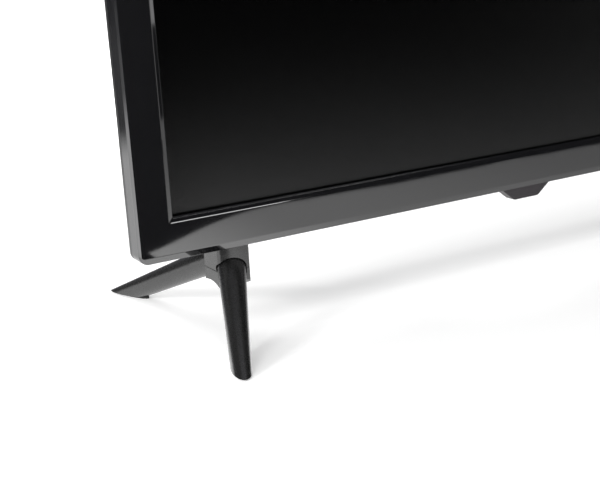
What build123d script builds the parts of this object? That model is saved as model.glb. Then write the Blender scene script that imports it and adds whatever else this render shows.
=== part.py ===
"""Flat screen television of the 24-inch class, standing on two splayed V feet.

X runs to the right as seen from in front, Y runs away from the viewer and Z is up.
The origin lies on the floor, in the middle between the soles of the feet.
Places from front to back are given as depths behind the front face of the bezel.
"""

from dataclasses import dataclass

from build123d import *
import math
import os

os.makedirs("parts", exist_ok=True)

# Driving sizes of the whole set, in millimetres
screen_width = 521.6
screen_height = 293.4
side_border = 22.2
top_border = 22.0
chin = 24.6
body_depth = 48.0
body_bottom = 49.5
body_corner = 6.0
face_forward = 24.863
wall = 2.2

# Fits that several pieces share
fit = 0.2
press = 0.05
overrun = 1.0
hair = 0.01

# Sizes and places that follow from them
body_width = screen_width + 2 * side_border
body_height = screen_height + chin + top_border
body_top = body_bottom + body_height
body_middle = body_bottom + body_height / 2
screen_bottom = body_bottom + chin
screen_top = screen_bottom + screen_height
screen_middle = screen_bottom + screen_height / 2
half_body = body_width / 2


def behind(depth):
    """The upright plane that lies at a depth behind the front face."""
    return Plane.XZ.offset(face_forward - depth)


def slab(low, high, front, back, corner=0, mode=Mode.ADD):
    """An upright slab between two corners (x, z) and two depths."""
    middle = ((low[0] + high[0]) / 2, (low[1] + high[1]) / 2)
    with BuildSketch(behind(front)) as outline:
        with Locations(middle):
            if corner > 0:
                RectangleRounded(high[0] - low[0], high[1] - low[1], corner)
            else:
                Rectangle(high[0] - low[0], high[1] - low[1])
    extrude(to_extrude=outline.sketch, amount=front - back, mode=mode)


def centred_slab(width, height, middle_z, front, back, corner=0, mode=Mode.ADD):
    """An upright slab centred across the set."""
    low = (-width / 2, middle_z - height / 2)
    high = (width / 2, middle_z + height / 2)
    slab(low, high, front, back, corner, mode)


def taper(front_box, back_box, front, back, mode=Mode.ADD):
    """A slab that changes from one box (low, high, corner) to another between two depths."""
    faces = []
    for (low, high, corner), depth in ((front_box, front), (back_box, back)):
        with BuildSketch(behind(depth)) as outline:
            with Locations(((low[0] + high[0]) / 2, (low[1] + high[1]) / 2)):
                RectangleRounded(high[0] - low[0], high[1] - low[1], corner)
        faces.append(outline.sketch)
    loft(sections=faces, mode=mode)


def pegs(places, radius, front, back, mode=Mode.ADD):
    """Round bars along the depth, one at each place (x, z)."""
    with BuildSketch(behind(front)) as ends:
        with Locations(*places):
            Circle(radius)
    extrude(to_extrude=ends.sketch, amount=front - back, mode=mode)


def posts(places, radius, low, high, mode=Mode.ADD):
    """Upright round bars, one at each place (x, depth)."""
    with BuildSketch(Plane.XY.offset(low)) as ends:
        with Locations(*[(x, depth - face_forward) for x, depth in places]):
            Circle(radius)
    extrude(to_extrude=ends.sketch, amount=high - low, mode=mode)


def block(low, high, corner=0, mode=Mode.ADD):
    """A box between two corners, each given as (x, depth, z)."""
    middle = ((low[0] + high[0]) / 2, (low[1] + high[1]) / 2 - face_forward)
    with BuildSketch(Plane.XY.offset(low[2])) as base:
        with Locations(middle):
            if corner > 0:
                RectangleRounded(high[0] - low[0], high[1] - low[1], corner)
            else:
                Rectangle(high[0] - low[0], high[1] - low[1])
    extrude(to_extrude=base.sketch, amount=high[2] - low[2], mode=mode)


def slots(places, width, height, front, back, mode=Mode.SUBTRACT):
    """Upright slots with round ends, cut along the depth at each place (x, z)."""
    with BuildSketch(behind(front)) as ends:
        with Locations(*places):
            SlotOverall(height, width, rotation=90)
    extrude(to_extrude=ends.sketch, amount=front - back, mode=mode)


# Front bezel
side_chamfer = 0.6
bottom_chamfer = 4.0
chamfer_depth = 1.9
bezel_depth = 11.0
bevel_width = 3.1
bevel_depth = 3.2
bevel_corner = 1.0
lip = 0.8
lip_land = 6.0
face_corner = body_corner - side_chamfer
face_low = body_bottom + bottom_chamfer
face_high = body_top - side_chamfer
lip_back = bevel_depth + lip
bezel_post_radius = 2.8
pilot_radius = 1.2
thread_radius = 1.15

# LCD module outline, which the bezel's posts stand around
module_side_border = 9.2
module_end_border = 10.3
frame_sheet = 0.6
module_width = screen_width + 2 * module_side_border
module_height = screen_height + 2 * module_end_border
half_module = module_width / 2
module_low = screen_middle - module_height / 2
module_high = screen_middle + module_height / 2

# Rows of posts between the module and the bezel's walls
side_row = (half_module + frame_sheet + half_body - wall) / 2
top_row = (module_high + frame_sheet + body_top - wall) / 2
bottom_row = (module_low + body_bottom + wall) / 2
cover_side_shares = (-0.43, -0.18, 0.18, 0.43)
panel_side_shares = (-0.33, 0, 0.33)
cover_top_shares = (-0.37, -0.13, 0.13, 0.37)
# Half the width of the recess for the sockets, with the low cover screws beside it
aerial_x = 86.0
recess_margin = 12.0
recess_half = aerial_x + recess_margin
recess_screw_gap = 11.0
cover_screw_low_x = recess_half + recess_screw_gap
cover_screw_places = (
    [(side * side_row, body_middle + share * body_height) for side in (-1, 1) for share in cover_side_shares]
    + [(share * body_width, top_row) for share in cover_top_shares]
    + [(side * cover_screw_low_x, bottom_row) for side in (-1, 1)]
)
panel_screw_places = [
    (side * side_row, body_middle + share * body_height) for side in (-1, 1) for share in panel_side_shares
]

# LCD module layers, from the front
cell_border = 5.2
cell_thickness = 1.4
shelf_reveal = 1.8
shelf = 0.8
guide_border = 4.2
film = 0.3
guide_thickness = 3.0
reflector_thickness = 0.2
tray_sheet = 0.8
cell_front = lip_back + frame_sheet
cell_back = cell_front + cell_thickness
shelf_back = cell_back + shelf
prism_back = shelf_back + film
diffuser_back = prism_back + film
guide_back = diffuser_back + guide_thickness
reflector_back = guide_back + reflector_thickness
tray_back = reflector_back + tray_sheet
seat_front = tray_back + overrun / 2

# Infrared window, a hump that hangs below the lower edge
hump_width = 42.0
hump_flat = 21.0
hump_drop = 8.2
hump_corner = 4.0
hump_depth = 7.8
hump_wall = 1.2
spigot_width = 36.0
hump_front = 3.0
hump_back = hump_front + hump_depth
hump_low = body_bottom - hump_drop
spigot_front = hump_front + hump_wall
spigot_back = hump_back - hump_wall

inner_low = body_bottom + wall
inner_high = body_top - wall
inner_half = half_body - wall

with BuildPart() as front_bezel:
    face_box = ((side_chamfer - half_body, face_low), (half_body - side_chamfer, face_high), face_corner)
    edge_box = ((-half_body, body_bottom), (half_body, body_top), body_corner)
    taper(face_box, edge_box, 0, chamfer_depth)
    centred_slab(body_width, body_height, body_middle, chamfer_depth, bezel_depth, body_corner)
    window_low = (-screen_width / 2, screen_bottom)
    window_high = (screen_width / 2, screen_top)
    open_low = (window_low[0] - bevel_width, window_low[1] - bevel_width)
    open_high = (window_high[0] + bevel_width, window_high[1] + bevel_width)
    window_corner = bevel_corner / 2
    opening_box = (open_low, open_high, bevel_corner)
    window_box = (window_low, window_high, window_corner)
    taper(opening_box, window_box, 0, bevel_depth, Mode.SUBTRACT)
    slab(window_low, window_high, bevel_depth, lip_back, window_corner, Mode.SUBTRACT)
    with BuildSketch(behind(wall)) as hollow:
        with Locations((0, body_middle)):
            RectangleRounded(inner_half * 2, inner_high - inner_low, body_corner - wall)
        with Locations((0, screen_middle)):
            Rectangle(screen_width + 2 * lip_land, screen_height + 2 * lip_land, mode=Mode.SUBTRACT)
    extrude(to_extrude=hollow.sketch, amount=wall - lip_back, mode=Mode.SUBTRACT)
    inner_corner = body_corner - wall
    slab((-inner_half, inner_low), (inner_half, inner_high), lip_back, bezel_depth, inner_corner, Mode.SUBTRACT)
    pegs(cover_screw_places, bezel_post_radius, wall, seat_front)
    pegs(panel_screw_places, bezel_post_radius, wall, reflector_back)
    pegs(cover_screw_places + panel_screw_places, pilot_radius, lip_back, seat_front, Mode.SUBTRACT)
    slot_low = (-spigot_width / 2 - fit, body_bottom - overrun)
    slot_high = (spigot_width / 2 + fit, inner_low + overrun)
    slab(slot_low, slot_high, spigot_front - fit, spigot_back + fit, 0, Mode.SUBTRACT)
front_bezel.part.label = "front_bezel"
export_step(front_bezel.part, "parts/front_bezel.step")

# Infrared window: a hollow smoked shell with a spigot that fills the bezel's slot
with BuildPart() as ir_window:
    with BuildSketch(behind(hump_front)) as hump_face:
        with BuildLine():
            Polyline(
                (-hump_width / 2, body_bottom),
                (-hump_flat / 2, hump_low),
                (hump_flat / 2, hump_low),
                (hump_width / 2, body_bottom),
                close=True,
            )
        make_face()
        fillet(hump_face.vertices().group_by(Axis.Y)[0], hump_corner)
    extrude(to_extrude=hump_face.sketch, amount=-hump_depth)
    fillet(ir_window.faces().sort_by(Axis.Y)[0].edges().sort_by(Axis.Z)[:-1], hump_wall / 2)
    slab((-spigot_width / 2, body_bottom), (spigot_width / 2, inner_low), spigot_front, spigot_back)
    cavity_half = hump_flat / 2 - hump_wall
    slab(
        (-cavity_half, hump_low + hump_wall),
        (cavity_half, inner_low + overrun),
        spigot_front + hump_wall / 2,
        spigot_back - hump_wall / 2,
        0,
        Mode.SUBTRACT,
    )
ir_window.part.label = "ir_window"
export_step(ir_window.part, "parts/ir_window.step")

# Infrared board, which lies over the window with the receiver and the lamp hanging into it
ir_board_width = 44.0
ir_board_thickness = 1.0
receiver_width = 5.6
receiver_drop = 7.0
receiver_depth = 3.0
receiver_share = -0.25
lamp_radius = 1.5
lamp_drop = 6.0
lamp_share = 0.3
hump_mid_depth = (hump_front + hump_back) / 2
ir_board_low = inner_low
cavity_top = ir_board_low
receiver_x = receiver_share * hump_flat
lamp_x = lamp_share * hump_flat

with BuildPart() as ir_board:
    slab(
        (-ir_board_width / 2, ir_board_low),
        (ir_board_width / 2, ir_board_low + ir_board_thickness),
        hump_front + wall,
        hump_back,
    )
ir_board.part.label = "ir_board"
export_step(ir_board.part, "parts/ir_board.step")

with BuildPart() as ir_receiver:
    slab(
        (receiver_x - receiver_width / 2, cavity_top - receiver_drop),
        (receiver_x + receiver_width / 2, cavity_top),
        hump_mid_depth - receiver_depth / 2,
        hump_mid_depth + receiver_depth / 2,
    )
    fillet(ir_receiver.edges().filter_by(Axis.Y), receiver_depth / 4)
ir_receiver.part.label = "ir_receiver"
export_step(ir_receiver.part, "parts/ir_receiver.step")

with BuildPart() as standby_lamp:
    posts([(lamp_x, hump_mid_depth)], lamp_radius, cavity_top - lamp_drop, cavity_top)
    fillet(standby_lamp.edges().sort_by(Axis.Z)[0], lamp_radius * 0.9)
standby_lamp.part.label = "standby_lamp"
export_step(standby_lamp.part, "parts/standby_lamp.step")

# Steel front frame of the LCD module
frame_reveal = 1.6
frame_side_back = guide_back - frame_sheet
with BuildPart() as panel_front_frame:
    frame_width = module_width + 2 * frame_sheet
    frame_height = module_height + 2 * frame_sheet
    centred_slab(frame_width, frame_height, screen_middle, lip_back, frame_side_back)
    centred_slab(module_width, module_height, screen_middle, cell_front, frame_side_back, 0, Mode.SUBTRACT)
    centred_slab(
        screen_width + 2 * frame_reveal,
        screen_height + 2 * frame_reveal,
        screen_middle,
        lip_back,
        cell_front,
        0,
        Mode.SUBTRACT,
    )
panel_front_frame.part.label = "panel_front_frame"
export_step(panel_front_frame.part, "parts/panel_front_frame.step")

# LCD cell, whose front is the screen
with BuildPart() as lcd_cell:
    cell_width = screen_width + 2 * cell_border
    cell_height = screen_height + 2 * cell_border
    centred_slab(cell_width, cell_height, screen_middle, cell_front, cell_back)
lcd_cell.part.label = "lcd_cell"
export_step(lcd_cell.part, "parts/lcd_cell.step")

# Plastic mid frame: a pocket for the cell, a shelf under it and a pocket for the light guide
guide_width = screen_width + 2 * guide_border
guide_low = screen_bottom - guide_border
guide_high = screen_top + guide_border
lamp_bay = 5.0
mid_width = module_width - 2 * fit
mid_height = module_height - 2 * fit
with BuildPart() as panel_mid_frame:
    centred_slab(mid_width, mid_height, screen_middle, cell_front, reflector_back)
    seat_width = cell_width + 2 * fit
    seat_height = cell_height + 2 * fit
    centred_slab(seat_width, seat_height, screen_middle, cell_front, cell_back, 0, Mode.SUBTRACT)
    centred_slab(
        screen_width + 2 * shelf_reveal,
        screen_height + 2 * shelf_reveal,
        screen_middle,
        cell_back,
        shelf_back,
        0,
        Mode.SUBTRACT,
    )
    slab(
        (-guide_width / 2 - fit, guide_low - lamp_bay),
        (guide_width / 2 + fit, guide_high + fit),
        shelf_back,
        reflector_back,
        0,
        Mode.SUBTRACT,
    )
panel_mid_frame.part.label = "panel_mid_frame"
export_step(panel_mid_frame.part, "parts/panel_mid_frame.step")

# Films and the light guide, stacked face to face
layers = (
    ("prism_sheet", shelf_back, prism_back),
    ("diffuser_sheet", prism_back, diffuser_back),
    ("light_guide_plate", diffuser_back, guide_back),
    ("reflector_sheet", guide_back, reflector_back),
)
for layer_name, layer_front, layer_back in layers:
    with BuildPart() as layer:
        slab((-guide_width / 2, guide_low), (guide_width / 2, guide_high), layer_front, layer_back)
    layer.part.label = layer_name
    export_step(layer.part, f"parts/{layer_name}.step")

# LED strip along the lower edge of the light guide
led_count = 30
led_length = 5.0
led_height = 2.4
strip_height = lamp_bay - led_height - fit
strip_low = guide_low - lamp_bay
strip_inset = 4.0
with BuildPart() as led_strip:
    strip_half = guide_width / 2 - strip_inset
    slab((-strip_half, strip_low), (strip_half, strip_low + strip_height), diffuser_back, guide_back)
    led_pitch = 2 * strip_half / led_count
    led_front = diffuser_back + film
    with BuildSketch(Plane.XY.offset(strip_low + strip_height)):
        with Locations((0, (led_front + guide_back) / 2 - face_forward)):
            with GridLocations(led_pitch, led_pitch, led_count, 1):
                Rectangle(led_length, guide_back - led_front - film)
    extrude(amount=led_height)
led_strip.part.label = "led_strip"
export_step(led_strip.part, "parts/led_strip.step")

# Steel back plate of the module, with ears, pressed ribs and posts for the boards
rib_depth = 1.0
rib_width = 14.0
rib_corner = 4.0
rib_x_shares = (-0.43, -0.29, 0.29, 0.43)
rib_margin = 48.0
ear_height = 12.0
board_standoff = 7.6
board_front = tray_back + board_standoff
board_thickness = 1.6
board_back = board_front + board_thickness
board_room = body_depth - wall - board_back
board_post_radius = 3.0
plate_rise = 60.7
plate_thickness = 0.8
plate_low = body_bottom + plate_rise
plate_high = plate_low + plate_thickness
board_gap = 1.5
board_margin = 14.0
board_half = recess_half + board_margin
board_height = 139.5
board_low = plate_high + board_gap
board_high = board_low + board_height
board_screw_inset = 6.5
board_screw_places = [
    (-board_half + board_screw_inset, board_low + board_screw_inset),
    (board_half - board_screw_inset, board_low + board_screw_inset),
    (-board_half + board_screw_inset, board_high - board_screw_inset),
    (board_half - board_screw_inset, board_high - board_screw_inset),
    (0, board_high - board_screw_inset),
]
with BuildPart() as panel_back_plate:
    centred_slab(mid_width, mid_height, screen_middle, reflector_back, tray_back)
    for x, z in panel_screw_places:
        ear_end = x + math.copysign(bezel_post_radius, x)
        ear_root = math.copysign(half_module - ear_height / 2, x)
        low_x = min(ear_end, ear_root)
        high_x = max(ear_end, ear_root)
        slab((low_x, z - ear_height / 2), (high_x, z + ear_height / 2), reflector_back, tray_back)
    for share in rib_x_shares:
        rib_x = share * body_width
        slab(
            (rib_x - rib_width / 2, module_low + rib_margin),
            (rib_x + rib_width / 2, module_high - rib_margin),
            tray_back,
            tray_back + rib_depth,
            rib_corner,
        )
    pegs(board_screw_places, board_post_radius, tray_back, board_front)
    pegs(board_screw_places, pilot_radius, tray_back, board_front, Mode.SUBTRACT)
    pegs(panel_screw_places, pilot_radius + fit, reflector_back, tray_back, Mode.SUBTRACT)
panel_back_plate.part.label = "panel_back_plate"
export_step(panel_back_plate.part, "parts/panel_back_plate.step")

# Panel driver board along the top, and the ribbon that brings it the picture
driver_half = 150.0
driver_drop = 10.0
driver_height = 16.0
driver_high = module_high - driver_drop
driver_low = driver_high - driver_height
driver_thickness = 1.2
driver_back = tray_back + driver_thickness
plug_width = 20.0
plug_height = 5.0
plug_depth = 2.6
ribbon_x = 60.0
with BuildPart() as panel_driver_board:
    slab((-driver_half, driver_low), (driver_half, driver_high), tray_back, driver_back)
    slab(
        (ribbon_x - plug_width / 2, driver_low),
        (ribbon_x + plug_width / 2, driver_low + plug_height),
        driver_back,
        driver_back + plug_depth,
    )
panel_driver_board.part.label = "panel_driver_board"
export_step(panel_driver_board.part, "parts/panel_driver_board.step")

ribbon_width = 16.0
ribbon_thickness = 0.4
ribbon_bend = 5.0
ribbon_rise = 14.0
ribbon_start_depth = board_back + plug_depth / 2
ribbon_end_depth = driver_back + plug_depth / 2
with BuildPart() as signal_ribbon:
    with BuildLine(Plane.YZ.offset(ribbon_x)) as ribbon_route:
        FilletPolyline(
            (ribbon_start_depth - face_forward, board_high),
            (ribbon_start_depth - face_forward, board_high + ribbon_rise),
            (ribbon_end_depth - face_forward, board_high + 3 * ribbon_rise),
            (ribbon_end_depth - face_forward, driver_low),
            radius=ribbon_bend,
        )
    with BuildSketch(Plane(origin=ribbon_route.line @ 0, z_dir=(0, 0, 1))):
        Rectangle(ribbon_width, ribbon_thickness)
    sweep()
signal_ribbon.part.label = "signal_ribbon"
export_step(signal_ribbon.part, "parts/signal_ribbon.step")

# Sockets along the lower edge of the main board: middle x, width and height of each body
inlet_x = -82.0
inlet_width = 20.0
inlet_depth = 12.0
inlet_height = 21.0
card_x = -38.0
card_width = 57.0
card_depth = 7.4
card_height = 58.0
card_wall = 1.0
usb_x = 2.0
usb_width = 13.6
usb_depth = 6.2
usb_height = 14.0
hdmi_first_x = 22.0
hdmi_pitch = 20.0
hdmi_x = (hdmi_first_x, hdmi_first_x + hdmi_pitch)
hdmi_width = 15.2
hdmi_depth = 6.0
hdmi_height = 12.0
jack_first_x = 58.0
jack_pitch = 11.0
jack_x = (jack_first_x, jack_first_x + jack_pitch)
jack_width = 8.0
jack_height = 14.0
jack_bore = 1.8
jack_bore_length = 12.0
aerial_radius = 4.8
aerial_bore = 3.9
aerial_pin = 1.6
aerial_reach = 8.0
tuner_width = 24.0
tuner_rise = 9.5
tuner_height = 38.0
tuner_low = board_low + tuner_rise
tuner_high = tuner_low + tuner_height
tuner_depth = 10.4
aerial_depth = board_back + tuner_depth / 2

# Main board with the plugs of the leads and the ribbon
lead_plug = 8.0
lead_plug_depth = 5.4
lead_rise = 27.5
key_lead_rise = 57.5
lead_row = board_low + lead_rise
key_lead_row = board_low + key_lead_rise
with BuildPart() as main_board:
    slab((-board_half, board_low), (board_half, board_high), board_front, board_back)
    slab(
        (ribbon_x - plug_width / 2, board_high - plug_height),
        (ribbon_x + plug_width / 2, board_high),
        board_back,
        board_back + plug_depth,
    )
    for side, row in ((-1, lead_row), (1, lead_row), (1, key_lead_row)):
        plug_end = side * board_half
        plug_root = side * (board_half - lead_plug)
        slab(
            (min(plug_end, plug_root), row - lead_plug / 2),
            (max(plug_end, plug_root), row + lead_plug / 2),
            board_back,
            board_back + lead_plug_depth,
        )
    pegs(board_screw_places, thread_radius + fit, board_front, board_back, Mode.SUBTRACT)
main_board.part.label = "main_board"
export_step(main_board.part, "parts/main_board.step")

# Main chip and small chips
chip_x = 36.0
chip_rise = 69.5
chip_z = board_low + chip_rise
chip_side = 28.0
chip_thickness = 1.6
with BuildPart() as main_chip:
    slab(
        (chip_x - chip_side / 2, chip_z - chip_side / 2),
        (chip_x + chip_side / 2, chip_z + chip_side / 2),
        board_back,
        board_back + chip_thickness,
    )
main_chip.part.label = "main_chip"
export_step(main_chip.part, "parts/main_chip.step")

small_chip_shares = ((0.09, 0.7), (0.32, 0.71), (0.63, 0.5), (0.63, 0.71), (-0.27, 0.63), (-0.27, 0.79))
small_chip_places = [(x * board_half, board_low + z * board_height) for x, z in small_chip_shares]
small_chip_width = 13.0
small_chip_height = 9.0
with BuildPart() as small_chips:
    with BuildSketch(behind(board_back)) as chip_faces:
        with Locations(*small_chip_places):
            Rectangle(small_chip_width, small_chip_height)
    extrude(to_extrude=chip_faces.sketch, amount=-chip_thickness)
small_chips.part.label = "small_chips"
export_step(small_chips.part, "parts/small_chips.step")

# Heat sinks: a finned one on the main chip and a bent sheet beside the power parts
sink_side = 38.0
sink_base = 2.0
sink_height_share = 0.357
sink_height = sink_height_share * board_room
sink_fins = 8
fin_thickness = 1.2
sheet_sink_x = -64.0
sheet_sink_thickness = 2.0
sheet_sink_rise = 65.5
sheet_sink_length = 58.0
sheet_sink_low = board_low + sheet_sink_rise
sheet_sink_high = sheet_sink_low + sheet_sink_length
sheet_sink_share = 0.635
sheet_sink_height = sheet_sink_share * board_room
sink_front = board_back + chip_thickness
with BuildPart() as heat_sinks:
    slab(
        (chip_x - sink_side / 2, chip_z - sink_side / 2),
        (chip_x + sink_side / 2, chip_z + sink_side / 2),
        sink_front,
        sink_front + sink_base,
    )
    fin_pitch = (sink_side - fin_thickness) / (sink_fins - 1)
    with BuildSketch(behind(sink_front + sink_base)) as fins:
        with Locations((chip_x, chip_z)):
            with GridLocations(fin_pitch, sink_side, sink_fins, 1):
                Rectangle(fin_thickness, sink_side)
    extrude(to_extrude=fins.sketch, amount=sink_base - sink_height)
    sheet_back = board_back + sheet_sink_height
    slab(
        (sheet_sink_x - sheet_sink_thickness / 2, sheet_sink_low),
        (sheet_sink_x + sheet_sink_thickness / 2, sheet_sink_high),
        board_back,
        sheet_back,
    )
    slab(
        (sheet_sink_x - sheet_sink_height / 2, sheet_sink_low),
        (sheet_sink_x, sheet_sink_high),
        sheet_back - sheet_sink_thickness,
        sheet_back,
    )
heat_sinks.part.label = "heat_sinks"
export_step(heat_sinks.part, "parts/heat_sinks.step")

# Transformer: a wound bobbin between the two halves of its core
core_x = -90.0
core_rise = 83.5
core_z = board_low + core_rise
core_width = 30.0
core_height = 26.0
core_depth_share = 0.635
core_depth = core_depth_share * board_room
core_leg = 6.0
winding_over = 2.0
with BuildPart() as transformer:
    slab(
        (core_x - core_width / 2, core_z - core_height / 2),
        (core_x + core_width / 2, core_z + core_height / 2),
        board_back,
        board_back + core_depth,
    )
    slab(
        (core_x - core_width / 2 + core_leg, core_z - core_height / 2 - winding_over),
        (core_x + core_width / 2 - core_leg, core_z + core_height / 2 + winding_over),
        board_back + winding_over,
        board_back + core_depth + winding_over,
        winding_over,
    )
transformer.part.label = "transformer"
export_step(transformer.part, "parts/transformer.step")

# Capacitors: one large and four small, standing on the board
large_can_share = (-0.8, 0.27)
large_can = (large_can_share[0] * board_half, board_low + large_can_share[1] * board_height)
large_can_radius = 8.0
large_can_height_share = 0.754
large_can_height = large_can_height_share * board_room
small_can_shares = ((-0.89, 0.8), (-0.75, 0.8), (-0.43, 0.56), (-0.43, 0.67))
small_can_places = [(x * board_half, board_low + z * board_height) for x, z in small_can_shares]
small_can_radius = 4.0
small_can_height = 12.0
with BuildPart() as capacitors:
    pegs([large_can], large_can_radius, board_back, board_back + large_can_height)
    pegs(small_can_places, small_can_radius, board_back, board_back + small_can_height)
    fillet(capacitors.faces().filter_by(Axis.Y).edges(), small_can_radius / 8)
capacitors.part.label = "capacitors"
export_step(capacitors.part, "parts/capacitors.step")

# Tuner in its steel can
with BuildPart() as tuner_can:
    slab(
        (aerial_x - tuner_width / 2, tuner_low),
        (aerial_x + tuner_width / 2, tuner_high),
        board_back,
        board_back + tuner_depth,
    )
    fillet(tuner_can.edges().filter_by(Axis.Y), fin_thickness)
tuner_can.part.label = "tuner_can"
export_step(tuner_can.part, "parts/tuner_can.step")

# Antenna socket: a sleeve with a contact tube in its middle, out of the tuner into the recess
with BuildPart() as antenna_socket:
    posts([(aerial_x, aerial_depth)], aerial_radius, plate_low - aerial_reach, tuner_low)
    posts([(aerial_x, aerial_depth)], aerial_bore, plate_low - aerial_reach, plate_high, Mode.SUBTRACT)
    posts([(aerial_x, aerial_depth)], aerial_pin, plate_low - aerial_reach / 2, plate_high)
    posts([(aerial_x, aerial_depth)], aerial_pin / 2, plate_low - aerial_reach / 2, plate_high, Mode.SUBTRACT)
antenna_socket.part.label = "antenna_socket"
export_step(antenna_socket.part, "parts/antenna_socket.step")


def flat_socket(middle_x, width, depth, height, shell, tongue_share):
    """A square metal socket with its mouth down and a tongue inside."""
    front = board_back
    block((middle_x - width / 2, front, plate_low), (middle_x + width / 2, front + depth, plate_low + height))
    block(
        (middle_x - width / 2 + shell, front + shell, plate_low),
        (middle_x + width / 2 - shell, front + depth - shell, plate_low + height - shell),
        0,
        Mode.SUBTRACT,
    )
    tongue_middle = front + depth / 2
    tongue_half = tongue_share * depth / 2
    block(
        (middle_x - width / 2 + 3 * shell, tongue_middle - tongue_half, plate_low + shell),
        (middle_x + width / 2 - 3 * shell, tongue_middle + tongue_half, plate_low + height - shell / 2),
    )


socket_shell = 0.6
tongue_share = 0.28
with BuildPart() as hdmi_sockets:
    for socket_x in hdmi_x:
        flat_socket(socket_x, hdmi_width, hdmi_depth, hdmi_height, socket_shell, tongue_share)
hdmi_sockets.part.label = "hdmi_sockets"
export_step(hdmi_sockets.part, "parts/hdmi_sockets.step")

with BuildPart() as usb_socket:
    flat_socket(usb_x, usb_width, usb_depth, usb_height, socket_shell, tongue_share)
usb_socket.part.label = "usb_socket"
export_step(usb_socket.part, "parts/usb_socket.step")

with BuildPart() as audio_jacks:
    for socket_x in jack_x:
        block(
            (socket_x - jack_width / 2, board_back, plate_low),
            (socket_x + jack_width / 2, board_back + jack_width, plate_low + jack_height),
        )
    jack_places = [(socket_x, board_back + jack_width / 2) for socket_x in jack_x]
    posts(jack_places, jack_bore, plate_low, plate_low + jack_bore_length, Mode.SUBTRACT)
audio_jacks.part.label = "audio_jacks"
export_step(audio_jacks.part, "parts/audio_jacks.step")

# Slot for a decoder card, open at its lower end
with BuildPart() as card_slot:
    block(
        (card_x - card_width / 2, board_back, plate_low),
        (card_x + card_width / 2, board_back + card_depth, plate_low + card_height),
    )
    block(
        (card_x - card_width / 2 + card_wall, board_back + card_wall, plate_low),
        (
            card_x + card_width / 2 - card_wall,
            board_back + card_depth - card_wall,
            plate_low + card_height - card_wall,
        ),
        0,
        Mode.SUBTRACT,
    )
card_slot.part.label = "card_slot"
export_step(card_slot.part, "parts/card_slot.step")

# Mains inlet with two round pins
inlet_mouth_width = 14.2
inlet_mouth_depth = 8.0
inlet_mouth_length = 15.0
pin_spread = 8.6
pin_radius = 1.2
pin_length = 9.0
inlet_middle = board_back + inlet_depth / 2
with BuildPart() as mains_inlet:
    block(
        (inlet_x - inlet_width / 2, board_back, plate_low),
        (inlet_x + inlet_width / 2, board_back + inlet_depth, plate_low + inlet_height),
    )
    with BuildSketch(Plane.XY.offset(plate_low)) as mouth:
        with Locations((inlet_x, inlet_middle - face_forward)):
            SlotOverall(inlet_mouth_width, inlet_mouth_depth)
    extrude(to_extrude=mouth.sketch, amount=inlet_mouth_length, mode=Mode.SUBTRACT)
mains_inlet.part.label = "mains_inlet"
export_step(mains_inlet.part, "parts/mains_inlet.step")

with BuildPart() as inlet_pins:
    pin_top = plate_low + inlet_mouth_length
    pin_places = [(inlet_x + side * pin_spread / 2, inlet_middle) for side in (-1, 1)]
    posts(pin_places, pin_radius, pin_top - pin_length, pin_top)
    fillet(inlet_pins.faces().sort_by(Axis.Z)[:2].edges(), pin_radius / 2)
inlet_pins.part.label = "inlet_pins"
export_step(inlet_pins.part, "parts/inlet_pins.step")

# Recess under the sockets, and the plate that closes its ceiling
recess_front = board_front - 3 * overrun
recess_ceiling = plate_low - wall
ceiling_window_inset = 5.0
plate_inset = 2.0
plate_margin = 5.0
plate_front = recess_front + overrun
plate_back = body_depth - 2 * plate_margin
with BuildPart() as socket_plate:
    plate_half = recess_half - plate_inset
    block((-plate_half, plate_front, plate_low), (plate_half, plate_back, plate_high))
    openings = [
        (inlet_x, inlet_width, inlet_depth),
        (card_x, card_width, card_depth),
        (usb_x, usb_width, usb_depth),
        *[(socket_x, hdmi_width, hdmi_depth) for socket_x in hdmi_x],
        *[(socket_x, jack_width, jack_width) for socket_x in jack_x],
    ]
    for socket_x, width, depth in openings:
        block(
            (socket_x - width / 2 - fit, board_back - fit, plate_low),
            (socket_x + width / 2 + fit, board_back + depth + fit, plate_high),
            0,
            Mode.SUBTRACT,
        )
    posts([(aerial_x, aerial_depth)], aerial_radius + fit, plate_low, plate_high, Mode.SUBTRACT)
socket_plate.part.label = "socket_plate"
export_step(socket_plate.part, "parts/socket_plate.step")

# Feet: places on the body and the floor
foot_inset = 60.1
foot_x = half_body - foot_inset
neck_width = 20.6
neck_front = 3.6
neck_brow = 2.0
neck_rear = 27.0
neck_corner = 2.5
neck_height = 14.4
neck_seam = body_bottom - neck_height
foot_screw_spread = 10.0
foot_screw_depth = 16.0
foot_screw_radius = 1.75
foot_screw_hole = 2.2
foot_head_radius = 3.5
foot_head_height = 2.4
foot_head_depth = 3.6
foot_head_seat = neck_seam - foot_head_depth
foot_screw_shares = (-0.5, 0.5)

# Brackets inside the body that take the foot screws
bracket_width = 20.0
bracket_front = tray_back + overrun
bracket_depth = 15.6
bracket_back = bracket_front + bracket_depth
bracket_sheet = 2.5
bracket_tab = 14.0
with BuildPart() as foot_brackets:
    for side in (-1, 1):
        middle = side * foot_x
        block(
            (middle - bracket_width / 2, bracket_front, inner_low),
            (middle + bracket_width / 2, bracket_back, inner_low + bracket_sheet),
        )
        block(
            (middle - bracket_width / 2, bracket_back - bracket_sheet, inner_low),
            (middle + bracket_width / 2, bracket_back, inner_low + bracket_tab),
        )
        screw_places = [(middle + share * foot_screw_spread, foot_screw_depth) for share in foot_screw_shares]
        posts(screw_places, foot_screw_radius + press, inner_low, inner_low + bracket_sheet, Mode.SUBTRACT)
foot_brackets.part.label = "foot_brackets"
export_step(foot_brackets.part, "parts/foot_brackets.step")

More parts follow.
